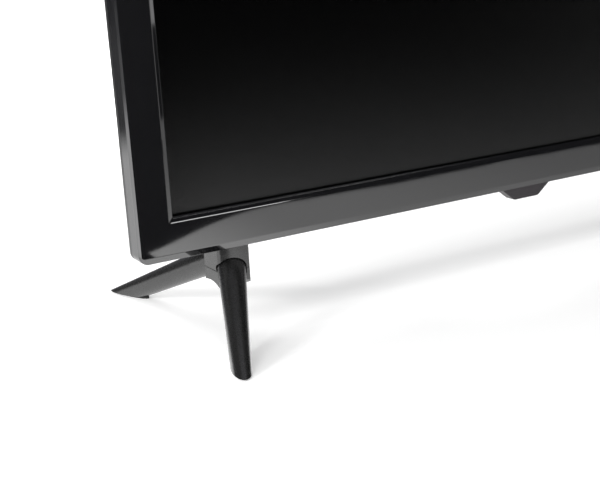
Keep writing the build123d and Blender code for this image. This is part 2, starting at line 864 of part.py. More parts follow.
# Speakers: a box with its driver facing down on each side
speaker_recess_gap = 19.8
speaker_bracket_gap = 7.5
speaker_low_x = recess_half + wall + speaker_recess_gap
speaker_high_x = foot_x - bracket_width / 2 - speaker_bracket_gap
speaker_x = (speaker_low_x + speaker_high_x) / 2
speaker_width = speaker_high_x - speaker_low_x
speaker_front = 14.0
speaker_rear_gap = 9.0
speaker_back = body_depth - speaker_rear_gap
speaker_height = 38.0
speaker_wall = 1.8
speaker_skirt = 1.8
driver_end_gap = 8.0
driver_length = speaker_width - 2 * driver_end_gap
driver_width = 18.0
driver_flange = 1.4
driver_basket = 8.0
magnet_radius = 7.0
magnet_height = 9.0
cone_margin = 2.5
cone_thickness = 0.6
cap_radius = 4.0
speaker_middle = (speaker_front + speaker_back) / 2
speaker_floor = inner_low + speaker_skirt
flange_low = speaker_floor - driver_flange


def oval(middle_x, length, width, low, high, mode=Mode.ADD):
    """An upright bar with an oval outline under a speaker box."""
    with BuildSketch(Plane.XY.offset(low)) as outline:
        with Locations((middle_x, speaker_middle - face_forward)):
            SlotOverall(length, width)
    extrude(to_extrude=outline.sketch, amount=high - low, mode=mode)


for side, hand in ((-1, "left"), (1, "right")):
    middle = side * speaker_x
    with BuildPart() as speaker_box:
        low = (middle - speaker_width / 2, speaker_front, inner_low)
        high = (middle + speaker_width / 2, speaker_back, inner_low + speaker_height)
        block(low, high, speaker_wall)
        block(
            (low[0] + speaker_wall, low[1] + speaker_wall, speaker_floor + speaker_wall),
            (high[0] - speaker_wall, high[1] - speaker_wall, high[2] - speaker_wall),
            0,
            Mode.SUBTRACT,
        )
        block(
            (low[0] + speaker_wall, low[1] + speaker_wall, inner_low),
            (high[0] - speaker_wall, high[1] - speaker_wall, speaker_floor),
            0,
            Mode.SUBTRACT,
        )
        basket_length = driver_length - 2 * cone_margin + 2 * fit
        basket_width = driver_width - 2 * cone_margin + 2 * fit
        oval(middle, basket_length, basket_width, speaker_floor, speaker_floor + speaker_wall, Mode.SUBTRACT)
    speaker_box.part.label = f"{hand}_speaker_box"
    export_step(speaker_box.part, f"parts/{hand}_speaker_box.step")

    with BuildPart() as speaker_driver:
        oval(middle, driver_length, driver_width, flange_low, speaker_floor)
        basket_high = speaker_floor + driver_basket
        cone_length = driver_length - 2 * cone_margin
        oval(middle, cone_length, driver_width - 2 * cone_margin, speaker_floor, basket_high)
        posts([(middle, speaker_middle)], magnet_radius, basket_high, basket_high + magnet_height)
        hollow_length = driver_length - 3 * cone_margin
        hollow_width = driver_width - 3 * cone_margin
        oval(middle, hollow_length, hollow_width, flange_low, basket_high - cone_margin, Mode.SUBTRACT)
    speaker_driver.part.label = f"{hand}_speaker_driver"
    export_step(speaker_driver.part, f"parts/{hand}_speaker_driver.step")

    with BuildPart() as speaker_cone:
        cone_low = speaker_floor
        oval(middle, hollow_length - fit, hollow_width - fit, cone_low, cone_low + cone_thickness)
        posts([(middle, speaker_middle)], cap_radius, cone_low + cone_thickness, cone_low + driver_basket / 2)
        fillet(speaker_cone.faces().sort_by(Axis.Z)[-1].edges(), cap_radius / 2)
    speaker_cone.part.label = f"{hand}_speaker_cone"
    export_step(speaker_cone.part, f"parts/{hand}_speaker_cone.step")

# Leads from the speakers and the key board to the main board
lead_radius = 1.2
lead_bend = 14.0
lead_depth = board_back + lead_plug_depth / 2
speaker_top = inner_low + speaker_height
with BuildPart() as speaker_leads:
    for side in (-1, 1):
        lead_start = (side * speaker_x, lead_depth - face_forward, speaker_top)
        lead_corner = (side * speaker_x, lead_depth - face_forward, lead_row)
        lead_end = (side * board_half, lead_depth - face_forward, lead_row)
        with BuildLine() as lead_route:
            FilletPolyline(lead_start, lead_corner, lead_end, radius=lead_bend)
        with BuildSketch(Plane(origin=lead_start, z_dir=(0, 0, 1))) as lead_section:
            Circle(lead_radius)
        sweep(sections=lead_section.sketch, path=lead_route.line)
speaker_leads.part.label = "speaker_leads"
export_step(speaker_leads.part, "parts/speaker_leads.step")

# Keys on the back: a column of seven, with their board and switches
key_names = (
    "key_power",
    "key_source",
    "key_menu",
    "key_channel_up",
    "key_channel_down",
    "key_volume_up",
    "key_volume_down",
)
key_inset = 78.0
key_rise = 159.5
key_x = half_body - key_inset
key_top = body_bottom + key_rise
key_pitch = 14.0
key_width = 8.0
key_height = 9.6
key_round = 2.0
key_gap = 0.25
key_proud = 0.4
key_travel = 0.8
pocket_margin = 3.0
pocket_depth = 1.2
flange_margin = 1.0
flange_thickness = 1.2
flange_clear = 0.3
stem_radius = 1.8
stem_length = 1.0
switch_gap = key_travel + flange_clear
switch_side = 6.0
switch_height = 3.2
plunger_radius = 1.6
plunger_height = 0.8
key_board_thickness = 1.6
key_post_radius = 2.5
key_last = len(key_names) - 1
key_bottom = key_top - key_last * key_pitch
pocket_floor = body_depth - pocket_depth
pocket_wall_front = pocket_floor - wall
flange_back = pocket_wall_front - flange_clear
flange_front = flange_back - flange_thickness
stem_front = flange_front - stem_length
plunger_back = stem_front - switch_gap
switch_back = plunger_back - plunger_height
key_board_back = switch_back - switch_height
key_board_front = key_board_back - key_board_thickness
pocket_low = (key_x - key_width / 2 - pocket_margin, key_bottom - key_height / 2 - pocket_margin)
pocket_high = (key_x + key_width / 2 + pocket_margin, key_top + key_height / 2 + pocket_margin)
key_post_places = [(key_x, pocket_low[1] - key_post_radius / 2), (key_x, pocket_high[1] + key_post_radius / 2)]
key_places = [(key_x, key_top - row * key_pitch) for row in range(len(key_names))]

for key_name, (x, z) in zip(key_names, key_places):
    with BuildPart() as key:
        slab(
            (x - key_width / 2, z - key_height / 2),
            (x + key_width / 2, z + key_height / 2),
            flange_back - hair,
            body_depth + key_proud,
            key_round,
        )
        fillet(key.faces().sort_by(Axis.Y)[-1].edges(), key_proud)
        slab(
            (x - key_width / 2 - flange_margin, z - key_height / 2 - flange_margin),
            (x + key_width / 2 + flange_margin, z + key_height / 2 + flange_margin),
            flange_front,
            flange_back,
            key_round,
        )
        pegs([(x, z)], stem_radius, stem_front, flange_front)
    key.part.label = key_name
    export_step(key.part, f"parts/{key_name}.step")

key_board_margin = 1.5
with BuildPart() as key_board:
    slab(
        (pocket_low[0], pocket_low[1] - key_post_radius - key_board_margin),
        (pocket_high[0], pocket_high[1] + key_post_radius + key_board_margin),
        key_board_front,
        key_board_back,
    )
    pegs(key_post_places, thread_radius + fit, key_board_front, key_board_back, Mode.SUBTRACT)
key_board.part.label = "key_board"
export_step(key_board.part, "parts/key_board.step")

with BuildPart() as key_switches:
    with BuildSketch(behind(key_board_back)) as switch_faces:
        with Locations(*key_places):
            Rectangle(switch_side, switch_side)
    extrude(to_extrude=switch_faces.sketch, amount=-switch_height)
    pegs(key_places, plunger_radius, switch_back, plunger_back)
key_switches.part.label = "key_switches"
export_step(key_switches.part, "parts/key_switches.step")

key_lead_depth = key_board_front - lead_radius
key_lead_share = 0.3
with BuildPart() as key_lead:
    key_lead_end = pocket_low[0] + key_width
    key_lead_straight = key_lead_share * (key_lead_end - board_half)
    with BuildLine() as key_route:
        FilletPolyline(
            (board_half, lead_depth - face_forward, key_lead_row),
            (board_half + key_lead_straight, lead_depth - face_forward, key_lead_row),
            (key_lead_end - key_lead_straight, key_lead_depth - face_forward, key_lead_row),
            (key_lead_end, key_lead_depth - face_forward, key_lead_row),
            radius=lead_bend,
        )
    with BuildSketch(Plane(origin=key_route.line @ 0, z_dir=(1, 0, 0))):
        Circle(lead_radius)
    sweep()
key_lead.part.label = "key_lead"
export_step(key_lead.part, "parts/key_lead.step")

# Wall mount: threaded inserts on a square pattern
vesa_spacing = 100.0
vesa_rise = 155.5
vesa_z = body_bottom + vesa_rise
insert_radius = 4.0
insert_bore = 2.0
insert_length = 14.0
boss_radius = 7.0
boss_length = 16.0
vesa_places = [
    (side * vesa_spacing / 2, vesa_z + rise * vesa_spacing / 2) for side in (-1, 1) for rise in (-1, 1)
]
insert_front = body_depth - insert_length
with BuildPart() as vesa_inserts:
    pegs(vesa_places, insert_radius, insert_front, body_depth)
    pegs(vesa_places, insert_bore, insert_front, body_depth, Mode.SUBTRACT)
vesa_inserts.part.label = "vesa_inserts"
export_step(vesa_inserts.part, "parts/vesa_inserts.step")

# Rear cover: a rim, a sloping panel, and a bulge for the electronics
rim_depth = 3.4
panel_depth = 7.6
rim_back = bezel_depth + rim_depth
panel_back = rim_back + panel_depth
panel_inset = 12.0
panel_low_inset = 8.0
panel_corner = 10.0
bulge_inset = 33.0
bulge_side_taper = 18.0
bulge_board_gap = 48.0
bulge_top_taper = 32.0
bulge_half = half_body - bulge_inset
bulge_back_half = bulge_half - bulge_side_taper
bulge_high = board_high + bulge_board_gap
bulge_back_high = bulge_high - bulge_top_taper
bulge_corner = 8.0
bulge_round = 3.0
tongue = 1.2
groove = 0.4
tongue_reach = 3.0
screw_tube_radius = 4.3
screw_head_radius = 2.9
screw_head_height = 1.8
seat_thickness = 2.0
screw_seat = seat_front + seat_thickness
vent_width = 2.6
vent_pitch_share = 0.031
vent_pitch = vent_pitch_share * bulge_back_half
vent_count = 17
vent_height = 28.0
vent_x_share = 0.603
vent_x = vent_x_share * bulge_back_half
vent_drop = 26.0
vent_z = bulge_back_high - vent_drop
high_vent_height = 22.0
high_vent_x_share = 0.539
high_vent_x = high_vent_x_share * bulge_back_half
high_vent_z_share = 0.447
high_vent_z = bulge_high + high_vent_z_share * (body_top - bulge_high)
grille_width = 1.8
grille_length = 16.0
grille_pitch = 4.6
grille_count = math.floor(driver_length / grille_pitch) - 1


def cover_outline(inset, mode):
    """The cover's outer shape, drawn in all round by an inset."""
    low = body_bottom + inset
    high = body_top - inset
    half = half_body - inset
    corner = body_corner - inset
    rim_box = ((-half, low), (half, high), corner)
    panel_box = (
        (panel_inset - half, low + panel_low_inset),
        (half - panel_inset, high - panel_inset),
        panel_corner - inset,
    )
    rim_front = bezel_depth if inset == 0 else bezel_depth - overrun
    slab(rim_box[0], rim_box[1], rim_front, rim_back, corner, mode)
    taper(rim_box, panel_box, rim_back, panel_back - inset, mode)
    root_box = ((inset - bulge_half, low), (bulge_half - inset, bulge_high - inset), bulge_corner - inset)
    back_half = bulge_back_half - inset
    back_box = ((-back_half, low), (back_half, bulge_back_high - inset), bulge_corner - inset)
    taper(root_box, back_box, rim_back, body_depth - inset, mode)


def vent_rows(middle_x, middle_z, count, pitch):
    """Places of a row of slots on each side of the middle."""
    first = -(count - 1) * pitch / 2
    return [(side * middle_x + first + step * pitch, middle_z) for side in (-1, 1) for step in range(count)]


with BuildPart() as rear_cover:
    cover_outline(0, Mode.ADD)
    fillet(rear_cover.faces().sort_by(Axis.Y)[-1].edges(), bulge_round)
    cover_outline(wall, Mode.SUBTRACT)
    recess_low = (-recess_half - wall, body_bottom)
    recess_high = (recess_half + wall, plate_low)
    slab(recess_low, recess_high, recess_front - wall, body_depth - wall)
    slab(
        (-recess_half, body_bottom - overrun),
        (recess_half, recess_ceiling),
        recess_front,
        body_depth + overrun,
        0,
        Mode.SUBTRACT,
    )
    block(
        (ceiling_window_inset - recess_half, board_front, recess_ceiling - overrun),
        (recess_half - ceiling_window_inset, plate_back - plate_inset, plate_low + overrun),
        0,
        Mode.SUBTRACT,
    )
    # Tongue that stands inside the bezel's walls
    with BuildSketch(behind(bezel_depth - tongue_reach)) as tongue_ring:
        with Locations((0, body_middle)):
            RectangleRounded(2 * (inner_half - fit), inner_high - inner_low - 2 * fit, inner_corner - fit)
            RectangleRounded(
                2 * (inner_half - fit - tongue),
                inner_high - inner_low - 2 * (fit + tongue),
                body_corner - wall - fit - tongue,
                mode=Mode.SUBTRACT,
            )
    extrude(to_extrude=tongue_ring.sketch, amount=-tongue_reach - tongue)
    with BuildSketch(behind(bezel_depth)) as tongue_root:
        with Locations((0, body_middle)):
            RectangleRounded(body_width - wall, body_height - wall, body_corner - wall / 2)
            RectangleRounded(
                2 * (inner_half - fit - tongue),
                inner_high - inner_low - 2 * (fit + tongue),
                body_corner - wall - fit - tongue,
                mode=Mode.SUBTRACT,
            )
    extrude(to_extrude=tongue_root.sketch, amount=-tongue)
    # Gap in the tongue for the infrared board, and a fine groove round the joint line
    block(
        (-ir_board_width / 2 - overrun, bezel_depth - tongue_reach, inner_low),
        (ir_board_width / 2 + overrun, bezel_depth, inner_low + 2 * tongue),
        0,
        Mode.SUBTRACT,
    )
    with BuildSketch(behind(bezel_depth)) as joint_groove:
        with Locations((0, body_middle)):
            Rectangle(body_width + overrun, body_height + overrun)
            RectangleRounded(
                body_width - 2 * groove,
                body_height - 2 * groove,
                body_corner - groove,
                mode=Mode.SUBTRACT,
            )
    extrude(to_extrude=joint_groove.sketch, amount=-groove, mode=Mode.SUBTRACT)
    # Deep wells for the cover screws
    pegs(cover_screw_places, screw_tube_radius, seat_front, rim_back + wall)
    pegs(cover_screw_places[-2:], screw_tube_radius, seat_front, body_depth - wall / 2)
    pegs(cover_screw_places, screw_head_radius + fit, screw_seat, body_depth + overrun, Mode.SUBTRACT)
    pegs(cover_screw_places, thread_radius + fit, seat_front, screw_seat, Mode.SUBTRACT)
    # Wall mount bosses
    boss_front = body_depth - boss_length
    pegs(vesa_places, boss_radius, boss_front, body_depth - wall / 2)
    pegs(vesa_places, insert_radius + press, insert_front, body_depth, Mode.SUBTRACT)
    pegs(vesa_places, insert_bore + fit, boss_front, insert_front, Mode.SUBTRACT)
    # Key pocket with its thick wall, key holes and posts
    slab(
        (pocket_low[0] - wall, pocket_low[1] - wall - key_post_radius),
        (pocket_high[0] + wall, pocket_high[1] + wall + key_post_radius),
        pocket_wall_front,
        body_depth - wall / 2,
    )
    slab(pocket_low, pocket_high, pocket_floor, body_depth + overrun, key_round, Mode.SUBTRACT)
    with BuildSketch(behind(pocket_wall_front)) as key_holes:
        with Locations(*key_places):
            RectangleRounded(key_width + 2 * key_gap, key_height + 2 * key_gap, key_round + key_gap)
    extrude(to_extrude=key_holes.sketch, amount=pocket_wall_front - pocket_floor, mode=Mode.SUBTRACT)
    pegs(key_post_places, key_post_radius, key_board_back, pocket_wall_front)
    pegs(key_post_places, pilot_radius, key_board_back, pocket_wall_front, Mode.SUBTRACT)
    # Vents, speaker grilles and holes for the foot screws
    vent_places = vent_rows(vent_x, vent_z, vent_count, vent_pitch)
    slots(vent_places, vent_width, vent_height, body_depth - 2 * wall, body_depth + overrun)
    high_vents = vent_rows(high_vent_x, high_vent_z, vent_count, vent_pitch)
    slots(high_vents, vent_width, high_vent_height, panel_back - 2 * wall, panel_back + overrun)
    with BuildSketch(Plane.XY.offset(body_bottom)) as grille:
        for side in (-1, 1):
            with Locations((side * speaker_x, speaker_middle - face_forward)):
                with GridLocations(grille_pitch, grille_pitch, grille_count, 1):
                    SlotOverall(grille_length, grille_width, rotation=90)
    extrude(to_extrude=grille.sketch, amount=wall, mode=Mode.SUBTRACT)
    foot_hole_places = [
        (side * foot_x + share * foot_screw_spread, foot_screw_depth)
        for side in (-1, 1)
        for share in foot_screw_shares
    ]
    posts(foot_hole_places, foot_screw_hole, body_bottom, inner_low, Mode.SUBTRACT)
rear_cover.part.label = "rear_cover"
export_step(rear_cover.part, "parts/rear_cover.step")


def cross_recess(places, plane_depth, length, width, depth):
    """A crosshead recess cut into each screw head from behind."""
    for turn in (0, 90):
        with BuildSketch(behind(plane_depth - depth)) as cross:
            with Locations(*places):
                Rectangle(length, width, rotation=turn)
        extrude(to_extrude=cross.sketch, amount=-depth, mode=Mode.SUBTRACT)


# Screws of the cover, in their wells
cover_screw_length = 8.0
cross_width = 0.8
with BuildPart() as cover_screws:
    head_back = screw_seat + screw_head_height
    pegs(cover_screw_places, screw_head_radius, screw_seat, head_back)
    screw_heads = cover_screws.faces().filter_by(Axis.Y).sort_by(Axis.Y)[-len(cover_screw_places):]
    fillet(screw_heads.edges(), cross_width)
    pegs(cover_screw_places, thread_radius, screw_seat - cover_screw_length, screw_seat)
    cross_recess(cover_screw_places, head_back, screw_head_radius, cross_width, cross_width)
cover_screws.part.label = "cover_screws"
export_step(cover_screws.part, "parts/cover_screws.step")

# Machine screws of the module, the main board and the key board
machine_screw_length = 5.0
with BuildPart() as machine_screws:
    pegs(panel_screw_places, screw_head_radius, tray_back, tray_back + screw_head_height)
    pegs(panel_screw_places, thread_radius, tray_back - machine_screw_length, tray_back)
    pegs(board_screw_places, screw_head_radius, board_back, board_back + screw_head_height)
    pegs(board_screw_places, thread_radius, board_back - machine_screw_length, board_back)
    pegs(key_post_places, screw_head_radius, key_board_front - screw_head_height, key_board_front)
    pegs(key_post_places, thread_radius, key_board_front, key_board_front + machine_screw_length)
machine_screws.part.label = "machine_screws"
export_step(machine_screws.part, "parts/machine_screws.step")

# Legs: two tapering oval bars from the neck to their soles
@dataclass(frozen=True)
class Leg:
    """Sizes of one leg, from its root in the neck to its sole."""

    root_shift: float
    root_depth: float
    root_height: float
    half_width: float
    half_height: float
    inner_reach: float
    extra_share: float
    upright: bool
    splay: float
    sole_depth: float
    sole_half_width: float
    sole_half_length: float
    sole_turn: float


front_root_shift = 2.7
front_root_depth = 4.0
front_root_rise = -1.2
front_half_width = 9.1
front_half_height = 8.6
front_inner_reach = 6.4
front_extra_share = 0.15
front_splay = 31.5
front_sole_depth = -57.3
front_sole_half_width = 5.5
front_sole_half_length = 15.7
front_sole_turn = 19.5
front_leg = Leg(
    front_root_shift,
    front_root_depth,
    neck_seam + front_root_rise,
    front_half_width,
    front_half_height,
    front_inner_reach,
    front_extra_share,
    True,
    front_splay,
    front_sole_depth,
    front_sole_half_width,
    front_sole_half_length,
    front_sole_turn,
)
rear_root_shift = 0.6
rear_root_rise = 2.5
rear_half_width = 7.9
rear_half_height = 8.8
rear_inner_reach = 7.3
rear_extra_share = 0.1
rear_splay = 30.6
rear_sole_depth = 107.4
rear_sole_half_width = 4.8
rear_sole_half_length = 15.8
rear_sole_turn = 22.7
rear_leg = Leg(
    rear_root_shift,
    neck_rear,
    neck_seam + rear_root_rise,
    rear_half_width,
    rear_half_height,
    rear_inner_reach,
    rear_extra_share,
    False,
    rear_splay,
    rear_sole_depth,
    rear_sole_half_width,
    rear_sole_half_length,
    rear_sole_turn,
)
arch_gap = 0.8
rear_gap = 0.25
front_leg_end = 11.0
rear_leg_start = 21.0
block_height = 9.8
block_low = neck_seam - block_height
chin_cut_height = 3.3
chin_cut_depth = 3.4
arch_rise = 2.6
arch_front = neck_front + chin_cut_depth
arch_back = 29.0
groove_height = 0.4
groove_inset = 0.3
sole_height = 0.7
pad_thickness = 1.5
pad_inset = 1.8
pad_half_length = 13.0
pad_shift = 7.4
pad_fit = 0.1


def neck_outline(centre, inset=0):
    """The plan of a neck about its middle, with a slightly bowed front, drawn in by an inset."""
    half = neck_width / 2 - inset
    front = neck_front - face_forward + inset
    back = neck_rear - face_forward - inset
    with BuildSketch(Plane.XY) as outline:
        with BuildLine():
            brow = ThreePointArc((-half, front + neck_brow), (0, front), (half, front + neck_brow))
            Polyline(brow @ 1, (half, back), (-half, back), brow @ 0)
        make_face()
        fillet(outline.vertices(), neck_corner)
    return Pos(centre, 0, 0) * outline.sketch


def leg_ends(side, leg):
    """The middle of a leg's root and of its sole."""
    root = Vector(side * (foot_x + leg.root_shift), leg.root_depth - face_forward, leg.root_height)
    sole = Vector(side * (foot_x + leg.splay), leg.sole_depth - face_forward, 0)
    return root, sole


def leg_bar(side, leg, grow):
    """One leg as a solid bar, running on past its root into the neck, grown all round."""
    root, sole = leg_ends(side, leg)
    run = sole - root
    start = root - run * leg.extra_share
    onward = math.copysign(1, run.Y)
    if leg.upright:
        root_plane = Plane(origin=start, x_dir=(onward, 0, 0), z_dir=(0, onward, 0))
    else:
        root_plane = Plane(origin=start, x_dir=Vector(run.Y, -run.X, 0), z_dir=run)
    turn = math.radians(leg.sole_turn)
    sole_across = Vector(onward * math.cos(turn), -side * math.sin(turn), 0)
    start_width = leg.sole_half_width + (leg.half_width - leg.sole_half_width) * (1 + leg.extra_share)
    inner_limit = side * (foot_x - leg.inner_reach - grow)
    past_neck = side * (foot_x - 2 * neck_width)
    with BuildPart() as bar:
        with BuildSketch(root_plane):
            Ellipse(start_width + grow, leg.half_height + grow)
        with BuildSketch(Plane(origin=sole, x_dir=sole_across, z_dir=(0, 0, -1))):
            Ellipse(leg.sole_half_width + grow, leg.sole_half_length + grow)
        loft()
        block(
            (min(inner_limit, past_neck), neck_front, 0),
            (max(inner_limit, past_neck), neck_rear, body_bottom),
            0,
            Mode.SUBTRACT,
        )
    return bar.part


def pad_place(side, leg):
    """Where a rubber pad lies under a leg: inward of the middle of the sole, past its inner end."""
    root, sole = leg_ends(side, leg)
    inward = Vector(root.X - sole.X, root.Y - sole.Y, 0).normalized()
    turn = -side * math.copysign(leg.sole_turn, sole.Y)
    return Location(sole + inward * pad_shift, (0, 0, turn))


def depth_box(front, back, low, high):
    """A wide box between two depths and two heights, for trimming foot pieces."""
    with BuildPart() as box:
        block((-body_width, front, low), (body_width, back, high))
    return box.part


far = body_width
for side, hand in ((-1, "left"), (1, "right")):
    centre = side * foot_x
    plan = neck_outline(centre)
    groove_plan = neck_outline(centre, groove_inset)
    front_bar = leg_bar(side, front_leg, 0)
    rear_bar = leg_bar(side, rear_leg, 0)
    front_room = leg_bar(side, front_leg, arch_gap)
    rear_room = leg_bar(side, rear_leg, rear_gap)
    before_core = depth_box(-far, front_leg_end + rear_gap, -far, far)
    behind_core = depth_box(rear_leg_start - rear_gap, far, -far, far)
    front_lip = depth_box(-far, (neck_front + front_leg_end) / 2, -far, far)
    screw_places = [(centre + share * foot_screw_spread, foot_screw_depth) for share in foot_screw_shares]

    # Neck: the block under the body, arched over the roots of the legs
    with BuildPart() as foot_neck:
        extrude(to_extrude=Pos(0, 0, neck_seam) * plan, amount=body_bottom - neck_seam)
        add(front_room & before_core, mode=Mode.SUBTRACT)
        add(rear_room & behind_core, mode=Mode.SUBTRACT)
        posts(screw_places, foot_screw_hole, neck_seam, body_bottom, Mode.SUBTRACT)
    foot_neck.part.label = f"{hand}_foot_neck"
    export_step(foot_neck.part, f"parts/{hand}_foot_neck.step")

    # Legs: both bars and the block between them, in one moulding
    with BuildPart() as foot_legs:
        extrude(to_extrude=Pos(0, 0, block_low) * plan, amount=block_height - groove_height)
        extrude(to_extrude=Pos(0, 0, neck_seam - groove_height) * groove_plan, amount=groove_height)
        add(front_room & front_lip, mode=Mode.SUBTRACT)
        with BuildSketch(Plane.YZ.offset(centre - neck_width)) as arch:
            with BuildLine():
                Polyline(
                    (neck_front - face_forward, block_low),
                    (neck_front - face_forward, block_low + chin_cut_height),
                    (arch_front - face_forward, block_low),
                    close=True,
                )
            make_face()
            with BuildLine():
                span = ThreePointArc(
                    (arch_front - face_forward, block_low),
                    ((arch_front + arch_back) / 2 - face_forward, block_low + arch_rise),
                    (arch_back - face_forward, block_low),
                )
                Line(span @ 1, span @ 0)
            make_face()
        extrude(to_extrude=arch.sketch, amount=2 * neck_width, mode=Mode.SUBTRACT)
        add(front_bar & depth_box(-far, front_leg_end, sole_height, far))
        add(rear_bar & depth_box(rear_leg_start, far, sole_height, far))
        for leg in (front_leg, rear_leg):
            with BuildSketch(Plane.XY.offset(sole_height)) as pad_pocket:
                with Locations(pad_place(side, leg)):
                    Ellipse(leg.sole_half_width - pad_inset + pad_fit, pad_half_length + pad_fit)
            extrude(to_extrude=pad_pocket.sketch, amount=pad_thickness - sole_height, mode=Mode.SUBTRACT)
        posts(screw_places, foot_screw_hole, block_low, neck_seam, Mode.SUBTRACT)
        posts(screw_places, foot_head_radius + fit, block_low, foot_head_seat, Mode.SUBTRACT)
    foot_legs.part.label = f"{hand}_foot_legs"
    export_step(foot_legs.part, f"parts/{hand}_foot_legs.step")

    # Rubber pads, let into the soles
    with BuildPart() as foot_pads:
        for leg in (front_leg, rear_leg):
            with BuildSketch(Plane.XY) as pad:
                with Locations(pad_place(side, leg)):
                    Ellipse(leg.sole_half_width - pad_inset, pad_half_length)
            extrude(to_extrude=pad.sketch, amount=pad_thickness)
    foot_pads.part.label = f"{hand}_foot_pads"
    export_step(foot_pads.part, f"parts/{hand}_foot_pads.step")

# Screws of the feet, put in from below
with BuildPart() as foot_screws:
    screw_top = inner_low + 2 * bracket_sheet
    posts(foot_hole_places, foot_screw_radius, foot_head_seat, screw_top)
    posts(foot_hole_places, foot_head_radius, foot_head_seat - foot_head_height, foot_head_seat)
    for turn in (0, 90):
        with BuildSketch(Plane.XY.offset(foot_head_seat - foot_head_height)) as cross:
            with Locations(*[(x, depth - face_forward) for x, depth in foot_hole_places]):
                Rectangle(foot_head_radius, cross_width, rotation=turn)
        extrude(to_extrude=cross.sketch, amount=cross_width, mode=Mode.SUBTRACT)
foot_screws.part.label = "foot_screws"
export_step(foot_screws.part, "parts/foot_screws.step")
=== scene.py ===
"""Flat screen television on two splayed V feet: its visible surfaces, finishes, studio and camera.

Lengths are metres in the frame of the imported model. X runs to the right as seen from in front,
Y runs away from the viewer, Z is up, and the soles of the feet stand at Z = 0.
"""

import logging
import math
from dataclasses import dataclass, field
from enum import Enum

import bpy
import numpy as np
from mathutils import Matrix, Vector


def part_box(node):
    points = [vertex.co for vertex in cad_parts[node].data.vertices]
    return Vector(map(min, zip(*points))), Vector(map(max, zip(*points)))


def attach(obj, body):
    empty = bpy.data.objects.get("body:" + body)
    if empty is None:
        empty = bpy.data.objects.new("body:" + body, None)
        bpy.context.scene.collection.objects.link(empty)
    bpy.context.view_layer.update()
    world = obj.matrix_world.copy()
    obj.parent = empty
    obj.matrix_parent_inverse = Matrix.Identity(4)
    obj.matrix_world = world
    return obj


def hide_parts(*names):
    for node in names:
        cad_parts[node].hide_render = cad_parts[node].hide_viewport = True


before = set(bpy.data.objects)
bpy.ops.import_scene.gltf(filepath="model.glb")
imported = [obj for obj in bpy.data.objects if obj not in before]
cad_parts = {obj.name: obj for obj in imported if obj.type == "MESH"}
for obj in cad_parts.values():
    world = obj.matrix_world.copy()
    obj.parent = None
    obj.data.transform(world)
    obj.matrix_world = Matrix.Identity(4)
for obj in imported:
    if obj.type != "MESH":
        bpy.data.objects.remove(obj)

LOG = logging.getLogger("television")
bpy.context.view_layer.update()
TELEVISION = "television"
Colour = tuple[float, float, float]
Point = tuple[float, float, float]
Span = tuple[float, float]
Corners = tuple[Span, Span]
WHITE = (1.0, 1.0, 1.0, 1.0)

# Sizes of the patches, slow waves and pits in the finishes, in metres
DRIFT_SIZE = 0.03
PATCH_SIZE = 0.012
WAVE_SIZE = 0.045
PIT_SIZE = 1.0 / 30000.0
# How far drawn grain is squeezed along X, and the length below which a normal counts as none
DRAWN_SHARE = 0.05
TINY = 1e-30


class Grain(Enum):
    """The kinds of fine surface that the finishes have."""

    POLISHED = "polished moulding"
    PEBBLED = "spark-eroded moulding"
    DRAWN = "rolled or drawn metal"
    SMOOTH = "film, glass or clear plastic"
    FIBRE = "paper or woven board"


